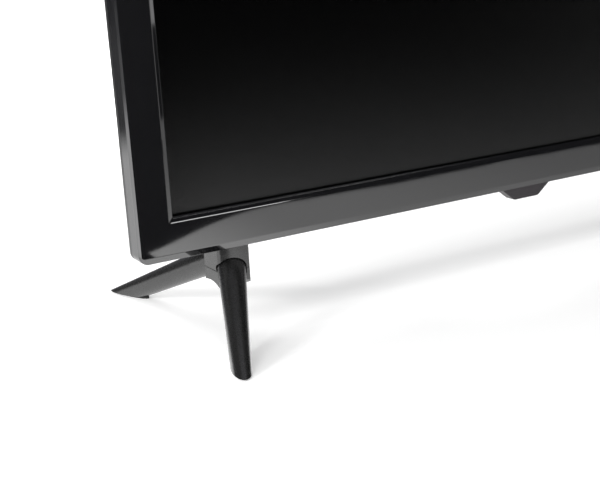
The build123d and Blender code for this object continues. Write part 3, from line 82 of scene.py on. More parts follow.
@dataclass
class NodeTree:
    """A shader tree that is put together from short calls."""

    tree: bpy.types.NodeTree

    def add(self, kind: str, **values: object) -> bpy.types.Node:
        """Makes a node and sets its inputs or settings.

        Args:
            kind: the node's type name.
            values: input names, with underscores for spaces, or settings of the node.

        Returns:
            The new node.
        """
        node = self.tree.nodes.new(kind)
        for name, value in values.items():
            socket = node.inputs.get(name.replace("_", " "))
            if socket is not None:
                socket.default_value = value
            else:
                setattr(node, name, value)
        return node

    def join(self, source: bpy.types.NodeSocket, target: bpy.types.NodeSocket) -> None:
        """Links an output to an input.

        Args:
            source: the output.
            target: the input.
        """
        self.tree.links.new(source, target)

    def place(self) -> bpy.types.NodeSocket:
        """Finds the point on the object.

        Returns:
            The point in object coordinates.
        """
        return self.add("ShaderNodeTexCoord").outputs["Object"]

    def noise(self, place: bpy.types.NodeSocket, size: float, detail: float = 2.0) -> bpy.types.NodeSocket:
        """Soft noise whose lumps are about a given size.

        Args:
            place: where the noise is read.
            size: the size of a lump, in metres.
            detail: how many finer octaves lie over it.

        Returns:
            The noise from 0 to 1.
        """
        node = self.add("ShaderNodeTexNoise", Scale=1.0 / size, Detail=detail, Roughness=0.55)
        self.join(place, node.inputs["Vector"])
        return node.outputs["Fac"]

    def ramp(
        self, value: bpy.types.NodeSocket, low: float, high: float, span: Span = (0.3, 0.7)
    ) -> bpy.types.NodeSocket:
        """Maps a value smoothly from one range to another.

        Args:
            value: what is mapped.
            low: the result at the start of the span.
            high: the result at the end of the span.
            span: start and end of the range that is read.

        Returns:
            The mapped value.
        """
        node = self.add("ShaderNodeMapRange", interpolation_type="SMOOTHSTEP")
        node.inputs["From Min"].default_value = span[0]
        node.inputs["From Max"].default_value = span[1]
        node.inputs["To Min"].default_value = low
        node.inputs["To Max"].default_value = high
        self.join(value, node.inputs["Value"])
        return node.outputs["Result"]

    def product(self, *values: bpy.types.NodeSocket) -> bpy.types.NodeSocket:
        """Multiplies two or more values together.

        Args:
            values: the values.

        Returns:
            Their product.
        """
        result = values[0]
        for value in values[1:]:
            result = self.math("MULTIPLY", result, value)
        return result

    def blend(self, amount: bpy.types.NodeSocket, first: Colour, second: Colour) -> bpy.types.NodeSocket:
        """Makes a colour that drifts between two.

        Args:
            amount: 0 for the first colour and 1 for the second.
            first: the first colour.
            second: the second colour.

        Returns:
            The colour.
        """
        node = self.add("ShaderNodeMix", data_type="RGBA")
        node.inputs[6].default_value = (*first, 1.0)
        node.inputs[7].default_value = (*second, 1.0)
        self.join(amount, node.inputs["Factor"])
        return node.outputs[2]

    def math(self, operation: str, first: object, second: object) -> bpy.types.NodeSocket:
        """Works out one value from two, each a socket or a number.

        Args:
            operation: the name of the calculation.
            first: the first value.
            second: the second value.

        Returns:
            The result.
        """
        node = self.add("ShaderNodeMath", operation=operation)
        for socket, value in zip(node.inputs, (first, second)):
            if isinstance(value, bpy.types.NodeSocket):
                self.join(value, socket)
            else:
                socket.default_value = value
        return node.outputs[0]


@dataclass(frozen=True)
class Finish:
    """One finish of the set, built as a procedural material.

    The colour drifts between two close tones in slow patches, the roughness varies with a second
    noise, and the fine relief is a bump whose lumps have the size of the real grain.

    Attributes:
        slot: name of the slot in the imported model.
        colour: first tone.
        tint: second tone.
        smooth: lowest roughness.
        rough: highest roughness.
        grain: kind of fine surface.
        lump: size of a lump of the grain, in metres.
        relief: height of the grain, in metres.
        metallic: 1 for bare metal.
        ior: refractive index, which sets the strength of reflections.
        coat: share of clear coat.
        transmission: share of light let through.
        wave: height of the slow unevenness of a moulding, in metres.
        film: tilt of an etched film's pits.
    """

    slot: str
    colour: Colour
    tint: Colour
    smooth: float
    rough: float
    grain: Grain = Grain.POLISHED
    lump: float = 0.0006
    relief: float = 0.00001
    metallic: float = 0.0
    ior: float = 1.5
    coat: float = 0.0
    transmission: float = 0.0
    wave: float = 0.0
    film: float = 0.0

    def build(self) -> bpy.types.Material:
        """Makes the material.

        Returns:
            The material, named for its slot.
        """
        material = bpy.data.materials.new("finish_" + self.slot)
        material.use_nodes = True
        nodes = NodeTree(material.node_tree)
        shader = material.node_tree.nodes["Principled BSDF"]
        shader.inputs["Metallic"].default_value = self.metallic
        shader.inputs["IOR"].default_value = self.ior
        shader.inputs["Coat Weight"].default_value = self.coat
        shader.inputs["Transmission Weight"].default_value = self.transmission
        place = nodes.place()
        drift = nodes.noise(place, DRIFT_SIZE, 3.0)
        nodes.join(nodes.blend(drift, self.colour, self.tint), shader.inputs["Base Color"])
        grain_place = self.stretch(nodes, place)
        fine = nodes.noise(grain_place, self.lump, 3.0)
        patch = nodes.noise(place, PATCH_SIZE, 4.0)
        spread = nodes.math("ADD", nodes.math("MULTIPLY", fine, 0.5), nodes.math("MULTIPLY", patch, 0.5))
        nodes.join(nodes.ramp(spread, self.smooth, self.rough), shader.inputs["Roughness"])
        bump = nodes.add("ShaderNodeBump", Strength=1.0, Distance=self.relief)
        nodes.join(fine, bump.inputs["Height"])
        if self.wave > 0:
            slow = nodes.add("ShaderNodeBump", Strength=1.0, Distance=self.wave)
            nodes.join(nodes.noise(place, WAVE_SIZE, 0.0), slow.inputs["Height"])
            nodes.join(slow.outputs["Normal"], bump.inputs["Normal"])
        if self.film > 0:
            nodes.join(self.etched(nodes, place), bump.inputs["Normal"])
        nodes.join(bump.outputs["Normal"], shader.inputs["Normal"])
        return material

    def etched(self, nodes: NodeTree, place: bpy.types.NodeSocket) -> bpy.types.NodeSocket:
        """The facing of an etched film: the surface's own normal plus a small random tilt.

        The tilt is fine noise about zero, so reflections spread like a bell curve that has no
        long tails.

        Args:
            nodes: the tree that is added to.
            place: where the noise is read.

        Returns:
            The tilted normal.
        """
        pits = nodes.add("ShaderNodeTexNoise", Scale=1.0 / PIT_SIZE, Detail=0.0)
        nodes.join(place, pits.inputs["Vector"])
        level = nodes.add("ShaderNodeVectorMath", operation="SUBTRACT")
        level.inputs[1].default_value = (0.5, 0.5, 0.5)
        nodes.join(pits.outputs["Color"], level.inputs[0])
        tilt = nodes.add("ShaderNodeVectorMath", operation="SCALE")
        tilt.inputs["Scale"].default_value = self.film
        nodes.join(level.outputs[0], tilt.inputs[0])
        facing = nodes.add("ShaderNodeVectorMath", operation="ADD")
        nodes.join(tilt.outputs[0], facing.inputs[0])
        nodes.join(nodes.add("ShaderNodeNewGeometry").outputs["Normal"], facing.inputs[1])
        unit = nodes.add("ShaderNodeVectorMath", operation="NORMALIZE")
        nodes.join(facing.outputs[0], unit.inputs[0])
        return unit.outputs[0]

    def stretch(self, nodes: NodeTree, place: bpy.types.NodeSocket) -> bpy.types.NodeSocket:
        """Draws the grain out along X for rolled metal, and leaves it round for the rest.

        Args:
            nodes: the tree that is added to.
            place: the point on the object.

        Returns:
            The place where the grain is read.
        """
        if self.grain is not Grain.DRAWN:
            return place
        drawn = nodes.add("ShaderNodeMapping")
        drawn.inputs["Scale"].default_value = (DRAWN_SHARE, 1.0, 1.0)
        nodes.join(place, drawn.inputs["Vector"])
        return drawn.outputs["Vector"]


@dataclass
class FinishBook:
    """Every finish by the name of its slot, built once and shared by the pieces.

    Attributes:
        finishes: what each finish is like.
        built: the materials made so far, by slot.
    """

    finishes: tuple[Finish, ...]
    built: dict[str, bpy.types.Material] = field(default_factory=dict)

    def material(self, slot: str) -> bpy.types.Material:
        """Gives the material of a slot, made when first asked for.

        Args:
            slot: name of the slot.

        Returns:
            The material.
        """
        if slot not in self.built:
            finish = next(entry for entry in self.finishes if entry.slot == slot)
            self.built[slot] = finish.build()
        return self.built[slot]

    def dress_node(self, node: bpy.types.Object) -> None:
        """Gives a carried-over solid the finish of its slot.

        Args:
            node: the solid's object.
        """
        slot = node.material_slots[0].material.name
        node.material_slots[0].material = self.material(slot)

    def dress_piece(self, piece: bpy.types.Object, slot: str, *nodes: str) -> None:
        """Gives a new piece its finish and its body, and hides the solids that it replaces.

        Args:
            piece: the new object.
            slot: name of the slot whose finish it takes.
            nodes: names of the solids that it replaces.
        """
        piece.data.materials.append(self.material(slot))
        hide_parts(*nodes)
        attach(piece, TELEVISION)


FINISHES = (
    Finish(
        "gloss_black", (0.0095, 0.0095, 0.011), (0.0125, 0.0125, 0.014),
        0.03, 0.06, relief=0.0000006, ior=1.95, wave=0.00012,
    ),
    Finish(
        "foot_gloss", (0.012, 0.012, 0.012), (0.018, 0.018, 0.018),
        0.24, 0.31, relief=0.000002, ior=1.78,
    ),
    Finish(
        "smoked_window", (0.02, 0.014, 0.02), (0.028, 0.02, 0.028),
        0.06, 0.12, relief=0.000001, ior=1.6,
    ),
    Finish(
        "matte_black", (0.014, 0.014, 0.015), (0.02, 0.02, 0.021),
        0.32, 0.44, Grain.PEBBLED, 0.0007, 0.00004, ior=1.75,
    ),
    Finish(
        "key_black", (0.012, 0.012, 0.013), (0.018, 0.018, 0.019),
        0.3, 0.42, Grain.PEBBLED, 0.0006, 0.00003,
    ),
    Finish(
        "screen_glass", (0.0002, 0.0002, 0.0003), (0.0004, 0.0004, 0.0005),
        0.18, 0.21, Grain.SMOOTH, ior=1.58, film=0.85,
    ),
    Finish(
        "sheet_steel", (0.5, 0.51, 0.52), (0.6, 0.6, 0.61),
        0.28, 0.4, Grain.DRAWN, 0.0008, 0.000006, metallic=1.0,
    ),
    Finish(
        "white_plastic", (0.72, 0.72, 0.7), (0.78, 0.78, 0.76),
        0.4, 0.52, Grain.PEBBLED, 0.0005, 0.00001,
    ),
    Finish(
        "optical_film", (0.8, 0.81, 0.82), (0.86, 0.87, 0.88),
        0.25, 0.4, Grain.SMOOTH, 0.0004, 0.000004,
    ),
    Finish(
        "clear_acrylic", (0.88, 0.92, 0.92), (0.92, 0.95, 0.95),
        0.04, 0.09, Grain.SMOOTH, ior=1.49, transmission=0.9,
    ),
    Finish(
        "board_green", (0.012, 0.07, 0.03), (0.02, 0.1, 0.045),
        0.3, 0.5, Grain.FIBRE, 0.0009, 0.00002, coat=0.3,
    ),
    Finish(
        "ribbon_white", (0.68, 0.68, 0.66), (0.76, 0.76, 0.74),
        0.35, 0.5, Grain.FIBRE, 0.0008, 0.00002,
    ),
    Finish(
        "chip_black", (0.015, 0.015, 0.016), (0.024, 0.024, 0.025),
        0.45, 0.6, Grain.PEBBLED, 0.0003, 0.00001,
    ),
    Finish(
        "lamp_red", (0.35, 0.012, 0.01), (0.45, 0.02, 0.015),
        0.06, 0.12, Grain.SMOOTH, ior=1.52, coat=0.5,
    ),
    Finish(
        "sink_aluminium", (0.6, 0.61, 0.62), (0.7, 0.7, 0.71),
        0.3, 0.45, Grain.DRAWN, 0.0007, 0.00001, metallic=1.0,
    ),
    Finish(
        "can_aluminium", (0.7, 0.71, 0.72), (0.78, 0.78, 0.79),
        0.2, 0.35, Grain.DRAWN, 0.0006, 0.000005, metallic=1.0,
    ),
    Finish(
        "ferrite", (0.05, 0.048, 0.045), (0.08, 0.076, 0.07),
        0.55, 0.72, Grain.PEBBLED, 0.0004, 0.00003,
    ),
    Finish(
        "nickel", (0.62, 0.6, 0.56), (0.72, 0.7, 0.65),
        0.14, 0.26, Grain.DRAWN, 0.0005, 0.000003, metallic=1.0,
    ),
    Finish(
        "socket_black", (0.012, 0.012, 0.013), (0.02, 0.02, 0.021),
        0.35, 0.5, Grain.PEBBLED, 0.0004, 0.00001,
    ),
    Finish(
        "lead_black", (0.014, 0.014, 0.015), (0.022, 0.022, 0.023),
        0.4, 0.55, Grain.PEBBLED, 0.0004, 0.00001,
    ),
    Finish(
        "speaker_paper", (0.05, 0.05, 0.052), (0.08, 0.08, 0.082),
        0.7, 0.85, Grain.FIBRE, 0.0007, 0.00004,
    ),
    Finish(
        "brass", (0.72, 0.5, 0.2), (0.8, 0.58, 0.26),
        0.2, 0.34, Grain.DRAWN, 0.0005, 0.000005, metallic=1.0,
    ),
    Finish(
        "screw_black", (0.02, 0.02, 0.021), (0.035, 0.035, 0.036),
        0.28, 0.42, Grain.PEBBLED, 0.0003, 0.000006, metallic=0.6,
    ),
    Finish(
        "screw_steel", (0.5, 0.5, 0.5), (0.62, 0.62, 0.62),
        0.2, 0.35, Grain.DRAWN, 0.0004, 0.000004, metallic=1.0,
    ),
    Finish(
        "rubber_black", (0.018, 0.018, 0.018), (0.028, 0.028, 0.028),
        0.7, 0.85, Grain.PEBBLED, 0.0005, 0.00003,
    ),
)


def make_mesh(name: str, points: np.ndarray, quads: np.ndarray) -> bpy.types.Object:
    """Puts a worked-out surface into a mesh object at the origin.

    Each corner's normal is the mean of its faces' normals weighted by the square of their areas,
    so flat faces stay flat right up to a fine rounding.

    Args:
        name: name of the object.
        points: the places, shape (n, 3).
        quads: indices of each face's corners, shape (m, 4).

    Returns:
        The new object, linked to the scene.
    """
    mesh = bpy.data.meshes.new(name)
    mesh.from_pydata(points.tolist(), [], quads.tolist())
    mesh.polygons.foreach_set("use_smooth", np.ones(len(mesh.polygons), dtype=bool))
    first, second, third, fourth = (points[quads[:, corner]] for corner in range(4))
    facing = np.cross(third - first, fourth - second)
    weighted = facing * np.linalg.norm(facing, axis=1, keepdims=True)
    normals = np.zeros_like(points)
    for corner in range(4):
        np.add.at(normals, quads[:, corner], weighted)
    normals /= np.maximum(np.linalg.norm(normals, axis=1, keepdims=True), TINY)
    mesh.update()
    mesh.normals_split_custom_set_from_vertices(normals.tolist())
    piece = bpy.data.objects.new(name, mesh)
    bpy.context.scene.collection.objects.link(piece)
    return piece


@dataclass(frozen=True)
class Ring:
    """One rounded rectangle of the bezel's section, at a depth behind the face.

    Attributes:
        low: left and bottom.
        high: right and top.
        corner: radius of its corners.
        depth: how far it lies behind the face.
        rounding: how far the edge here is rounded off along the section.
    """

    low: tuple[float, float]
    high: tuple[float, float]
    corner: float
    depth: float
    rounding: float = 0.0

    def row(self) -> tuple[float, ...]:
        """Lines the ring's numbers up.

        Returns:
            Left, bottom, right, top, corner and depth.
        """
        return (*self.low, *self.high, self.corner, self.depth)


@dataclass
class RingSurface:
    """A closed section carried round a rectangle with rounded corners.

    Every ring gives the outline at one place of the section. Where a ring has a rounding, it is
    replaced by a short parabola from the ring before towards the ring after, so the edge catches
    light. A point at angle t of a corner lies at the corner's middle plus its radius times
    (cos t, sin t), and neighbouring corners are joined by straight runs.

    Attributes:
        rings: the section, in order round it.
        corner_steps: places along each corner.
        rounding_steps: places along each rounding.
        furthest: the largest share of the way to the next ring that a rounding may take.
    """

    rings: list[Ring]
    corner_steps: int = 12
    rounding_steps: int = 5
    furthest: float = 0.45

    def rows(self) -> np.ndarray:
        """The rings' numbers with every rounding worked out.

        Returns:
            One row of six numbers for each ring of the finished section.
        """
        table = np.array([ring.row() for ring in self.rings])
        finished = []
        for index, ring in enumerate(self.rings):
            here = table[index]
            before, after = table[index - 1], table[(index + 1) % len(table)]
            if ring.rounding == 0:
                finished.append(here[None, :])
                continue
            starts = [self.towards(here, other, ring.rounding) for other in (before, after)]
            t = np.linspace(0.0, 1.0, self.rounding_steps)[:, None]
            finished.append((1 - t) ** 2 * starts[0] + 2 * t * (1 - t) * here + t**2 * starts[1])
        return np.vstack(finished)

    def towards(self, here: np.ndarray, other: np.ndarray, distance: float) -> np.ndarray:
        """Finds the row that lies a distance from one row on the way to another.

        Args:
            here: the row that is left.
            other: the row that is headed for.
            distance: how far to go.

        Returns:
            The row there, or the furthest allowed where the way is short.
        """
        gap = np.hypot(np.abs(other[:4] - here[:4]).max(), other[5] - here[5])
        return here + (other - here) * min(self.furthest, distance / gap)

    def points(self, face_y: float) -> np.ndarray:
        """The places of the surface.

        Args:
            face_y: where the front face lies along Y.

        Returns:
            The places, shape (rings, places round each ring, 3).
        """
        rows = self.rows()
        quarter = np.linspace(0.0, math.pi / 2, self.corner_steps)
        angle = np.concatenate([quarter + turn * math.pi / 2 for turn in (-1, 0, 1, 2)])
        right = np.repeat([True, True, False, False], self.corner_steps)
        top = np.repeat([False, True, True, False], self.corner_steps)
        left_x, low_z, right_x, high_z, corner, depth = (column[:, None] for column in rows.T)
        middle_x = np.where(right, right_x - corner, left_x + corner)
        middle_z = np.where(top, high_z - corner, low_z + corner)
        x = middle_x + corner * np.cos(angle)
        z = middle_z + corner * np.sin(angle)
        y = np.broadcast_to(face_y + depth, x.shape)
        return np.stack([x, y, z], axis=-1)

    def build(self, name: str, face_y: float) -> bpy.types.Object:
        """Makes the surface.

        Args:
            name: name of the object.
            face_y: where the front face lies along Y.

        Returns:
            The new object.
        """
        grid = self.points(face_y)
        rings, places = grid.shape[:2]
        number = np.arange(rings * places).reshape(rings, places)
        next_ring, next_place = np.roll(number, -1, axis=0), np.roll(number, -1, axis=1)
        across = np.roll(next_ring, -1, axis=1)
        quads = np.stack([number, next_place, across, next_ring], axis=-1).reshape(-1, 4)
        return make_mesh(name, grid.reshape(-1, 3), quads)


@dataclass
class Bezel:
    """The gloss front frame: side walls, a fine edge all round, a flat face and a sloping inner edge.

    The inner edge begins with a steeper fine step, and along the chin it ends in an arris, a narrow
    steep band that catches the light from above.

    Attributes:
        side_slope: width of the outer fine edge at the sides and top.
        bottom_slope: height of the outer sloping edge at the bottom.
        slope_depth: depth of the outer edge.
        corner: radius of the outline's corners.
        face_corner: radius of the face's corners.
        wall: thickness of the walls.
        border: width beside the window.
        chin: height below the window.
        top_border: height above the window.
        bevel: width of the sloping inner edge.
        bevel_depth: depth of the inner edge at the sides.
        lip: depth of the straight lip behind it.
        land: width of the rest that holds the panel.
        step: width of the inner edge's first step.
        step_depth: depth of that step.
        knee: how far from the window the arris begins.
        knee_depth: depth where the arris begins.
        arris_depth: depth where the arris ends.
        seam: gap between the bezel and the rear cover.
        outer_edge: rounding of the outer edges.
        opening_edge: rounding where the inner edge begins.
        back_edge: rounding of the hidden edges.
        step_edge: rounding of the step and the arris.
        opening_corner: corner radius of the opening and of the land.
        step_corner: corner radius of the step.
        knee_corner: corner radius of the knee.
        window_corner: corner radius of the window.
    """

    side_slope: float = 0.0011
    bottom_slope: float = 0.004
    slope_depth: float = 0.0019
    corner: float = 0.006
    face_corner: float = 0.0015
    wall: float = 0.0022
    border: float = 0.0222
    chin: float = 0.0246
    top_border: float = 0.022
    bevel: float = 0.0032
    bevel_depth: float = 0.0016
    lip: float = 0.0024
    land: float = 0.006
    step: float = 0.0006
    step_depth: float = 0.00039
    knee: float = 0.0006
    knee_depth: float = 0.00132
    arris_depth: float = 0.00232
    seam: float = 0.0004
    outer_edge: float = 0.0003
    opening_edge: float = 0.0002
    back_edge: float = 0.0002
    step_edge: float = 0.0001
    opening_corner: float = 0.001
    step_corner: float = 0.0009
    knee_corner: float = 0.0006
    window_corner: float = 0.0005

    @staticmethod
    def grown(corners: Corners, distance: float) -> Corners:
        """Moves every side of a rectangle outwards.

        Args:
            corners: its lower left and upper right corners.
            distance: how far the sides move, negative for inwards.

        Returns:
            The new corners.
        """
        (left, bottom), (right, top) = corners
        return (left - distance, bottom - distance), (right + distance, top + distance)

    def rings(self, low: Point, high: Point) -> list[Ring]:
        """The section's rings, from the back of the outer wall round to the back of the inner wall.

        Args:
            low: lowest corner of the bezel's solid.
            high: highest corner of the bezel's solid.

        Returns:
            The rings, in order.
        """
        left, bottom, right, top = low[0], low[2], high[0], high[2]
        back = high[1] - low[1] - self.seam
        slope = self.side_slope
        outer = ((left, bottom), (right, top))
        inner = self.grown(outer, -self.wall)
        face = ((left + slope, bottom + self.bottom_slope), (right - slope, top - slope))
        window = ((left + self.border, bottom + self.chin), (right - self.border, top - self.top_border))
        opening = self.grown(window, self.bevel)
        step = self.grown(window, self.bevel - self.step)
        knee = self.grown(window, self.knee)
        land = self.grown(window, self.land)
        share = (self.arris_depth - self.bevel_depth) / (self.arris_depth - self.knee_depth)
        sill = ((window[0][0], window[0][1] - share * self.knee), window[1])
        lip_back = self.bevel_depth + self.lip
        return [
            Ring(*outer, self.corner, back, self.back_edge),
            Ring(*outer, self.corner, self.slope_depth, self.outer_edge),
            Ring(*face, self.face_corner, 0.0, self.outer_edge),
            Ring(*opening, self.opening_corner, 0.0, self.opening_edge),
            Ring(*step, self.step_corner, self.step_depth, self.step_edge),
            Ring(*knee, self.knee_corner, self.knee_depth, self.step_edge),
            Ring(*sill, self.window_corner, self.bevel_depth),
            Ring(*window, self.window_corner, self.arris_depth, self.step_edge),
            Ring(*window, self.window_corner, lip_back, self.back_edge),
            Ring(*land, self.opening_corner, lip_back),
            Ring(*land, self.opening_corner, self.wall),
            Ring(*inner, self.corner - self.wall, self.wall),
            Ring(*inner, self.corner - self.wall, back),
        ]

    def build(self, book: FinishBook) -> bpy.types.Object:
        """Makes the bezel over its solid's own box.

        Args:
            book: the finishes.

        Returns:
            The bezel.
        """
        low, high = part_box("front_bezel")
        piece = RingSurface(self.rings(low, high)).build("gloss_bezel", low[1])
        book.dress_piece(piece, "gloss_black", "front_bezel")
        return piece


@dataclass
class CarriedOver:
    """The solids whose own shape stays, each with a finish of its own.

    Attributes:
        left_out: names of the solids that a new piece replaces.
    """

    left_out: tuple[str, ...] = ("front_bezel",)

    def dress(self, book: FinishBook) -> None:
        """Gives every solid that stays its finish.

        Args:
            book: the finishes.
        """
        for name, node in sorted(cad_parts.items()):
            if name not in self.left_out:
                book.dress_node(node)


@dataclass
class Softbox:
    """One lamp with a soft front.

    Attributes:
        name: name of the lamp.
        place: where it hangs.
        aim: the point it faces.
        width: width of its front.
        height: height of its front.
        radiance: how bright its front is.
        diffuse: whether it lights matte surfaces and casts shadows on them.
        gloss: whether it is seen in reflections.
    """

    name: str
    place: Point
    aim: Point
    width: float
    height: float
    radiance: float
    diffuse: bool = True
    gloss: bool = True

    def build(self) -> bpy.types.Object:
        """Makes the lamp, whose power is its radiance times its area times pi.

        Returns:
            The lamp's object.
        """
        lamp = bpy.data.lights.new(self.name, "AREA")
        lamp.shape = "RECTANGLE"
        lamp.size, lamp.size_y = self.width, self.height
        lamp.energy = self.radiance * self.width * self.height * math.pi
        holder = bpy.data.objects.new(self.name, lamp)
        holder.visible_diffuse = self.diffuse
        holder.visible_glossy = self.gloss
        bpy.context.scene.collection.objects.link(holder)
        place, aim = np.array(self.place), np.array(self.aim)
        back = (place - aim) / np.linalg.norm(place - aim)
        side = np.cross((0.0, 0.0, 1.0), back)
        side /= np.linalg.norm(side)
        up = np.cross(back, side)
        turn = np.eye(4)
        turn[:3, 0], turn[:3, 1], turn[:3, 2], turn[:3, 3] = side, up, back, place
        holder.matrix_world = Matrix(turn.tolist())
        return holder


@dataclass(frozen=True)
class Pool:
    """The pool of light that gloss sees on the floor, made of smooth steps along X and Y.

    A span is the pair of places where a step starts and ends, in metres. The pool has a near line
    in front of the set, which turns back towards its left end, falls off in two steps behind the
    set, and is brighter on the left. A pale backdrop lies beyond it.

    Attributes:
        near_line: span of the near line.
        near_turn: span along X over which the near line turns back.
        near_shift: how far it turns back.
        left_end: span along X of the pool's left end in front of the set.
        left_end_reach: span along Y behind which there is no left end.
        middle_fall: span of the first fall behind the set.
        middle_level: level after it.
        far_fall: span of the second fall.
        far_level: level after it.
        left_fall: span along X over which the left's extra light fades.
        right_fall: span along X over which the rest fades to the right.
        right_levels: levels of the rest before and after that.
        patch_side: span along X where a brighter patch on the left begins.
        patch_reach: span along Y over which that patch fades.
        patch_level: extra level of the patch.
        outer_fall: span along X over which the far left rises to its full level.
        outer_level: level of the far left.
        backdrop_reach: span along Y where the backdrop begins.
        backdrop_side: span along X where the backdrop begins.
        base: level of the rest of the floor.
    """

    near_line: Span = (-0.277, -0.271)
    near_turn: Span = (-0.235, -0.08)
    near_shift: float = 0.068
    left_end: Span = (-0.2055, -0.2035)
    left_end_reach: Span = (-0.14, -0.12)
    middle_fall: Span = (-0.12, 0.08)
    middle_level: float = 0.58
    far_fall: Span = (0.5, 0.74)
    far_level: float = 0.06
    left_fall: Span = (-0.22, -0.07)
    right_fall: Span = (-0.1, 0.3)
    right_levels: Span = (0.95, 0.55)
    patch_side: Span = (-0.5, -0.42)
    patch_reach: Span = (0.25, 0.35)
    patch_level: float = 0.8
    outer_fall: Span = (-1.5, -0.9)
    outer_level: float = 0.2
    backdrop_reach: Span = (0.9, 1.3)
    backdrop_side: Span = (-0.45, -0.25)
    base: float = 0.02

    def strength(
        self, nodes: NodeTree, x: bpy.types.NodeSocket, y: bpy.types.NodeSocket
    ) -> bpy.types.NodeSocket:
        """How bright the floor is to gloss.

        Args:
            nodes: the tree that is added to.
            x: the place along X.
            y: the place along Y.

        Returns:
            The level at that place.
        """
        line = nodes.math("SUBTRACT", y, nodes.ramp(x, self.near_shift, 0.0, self.near_turn))
        left_end = nodes.ramp(x, 0.0, 1.0, self.left_end)
        stop = nodes.math("MAXIMUM", left_end, nodes.ramp(y, 0.0, 1.0, self.left_end_reach))
        near = nodes.product(nodes.ramp(line, 0.0, 1.0, self.near_line), stop)
        middle = nodes.ramp(y, 1.0, self.middle_level, self.middle_fall)
        far = nodes.product(middle, nodes.ramp(y, 1.0, self.far_level, self.far_fall))
        right = nodes.ramp(x, *self.right_levels, self.right_fall)
        across = nodes.math("ADD", nodes.ramp(x, 1.0, 0.0, self.left_fall), right)
        close = nodes.ramp(y, 1.0, 0.0, self.patch_reach)
        patch = nodes.product(nodes.ramp(x, self.patch_level, 0.0, self.patch_side), close)
        outer = nodes.ramp(x, self.outer_level, 1.0, self.outer_fall)
        beside = nodes.product(nodes.math("ADD", patch, 1.0), outer, across)
        pool = nodes.product(near, far, beside)
        beyond = nodes.ramp(y, 0.0, 1.0, self.backdrop_reach)
        behind = nodes.product(beyond, nodes.ramp(x, 0.0, 1.0, self.backdrop_side))
        return nodes.math("ADD", nodes.math("ADD", pool, behind), self.base)


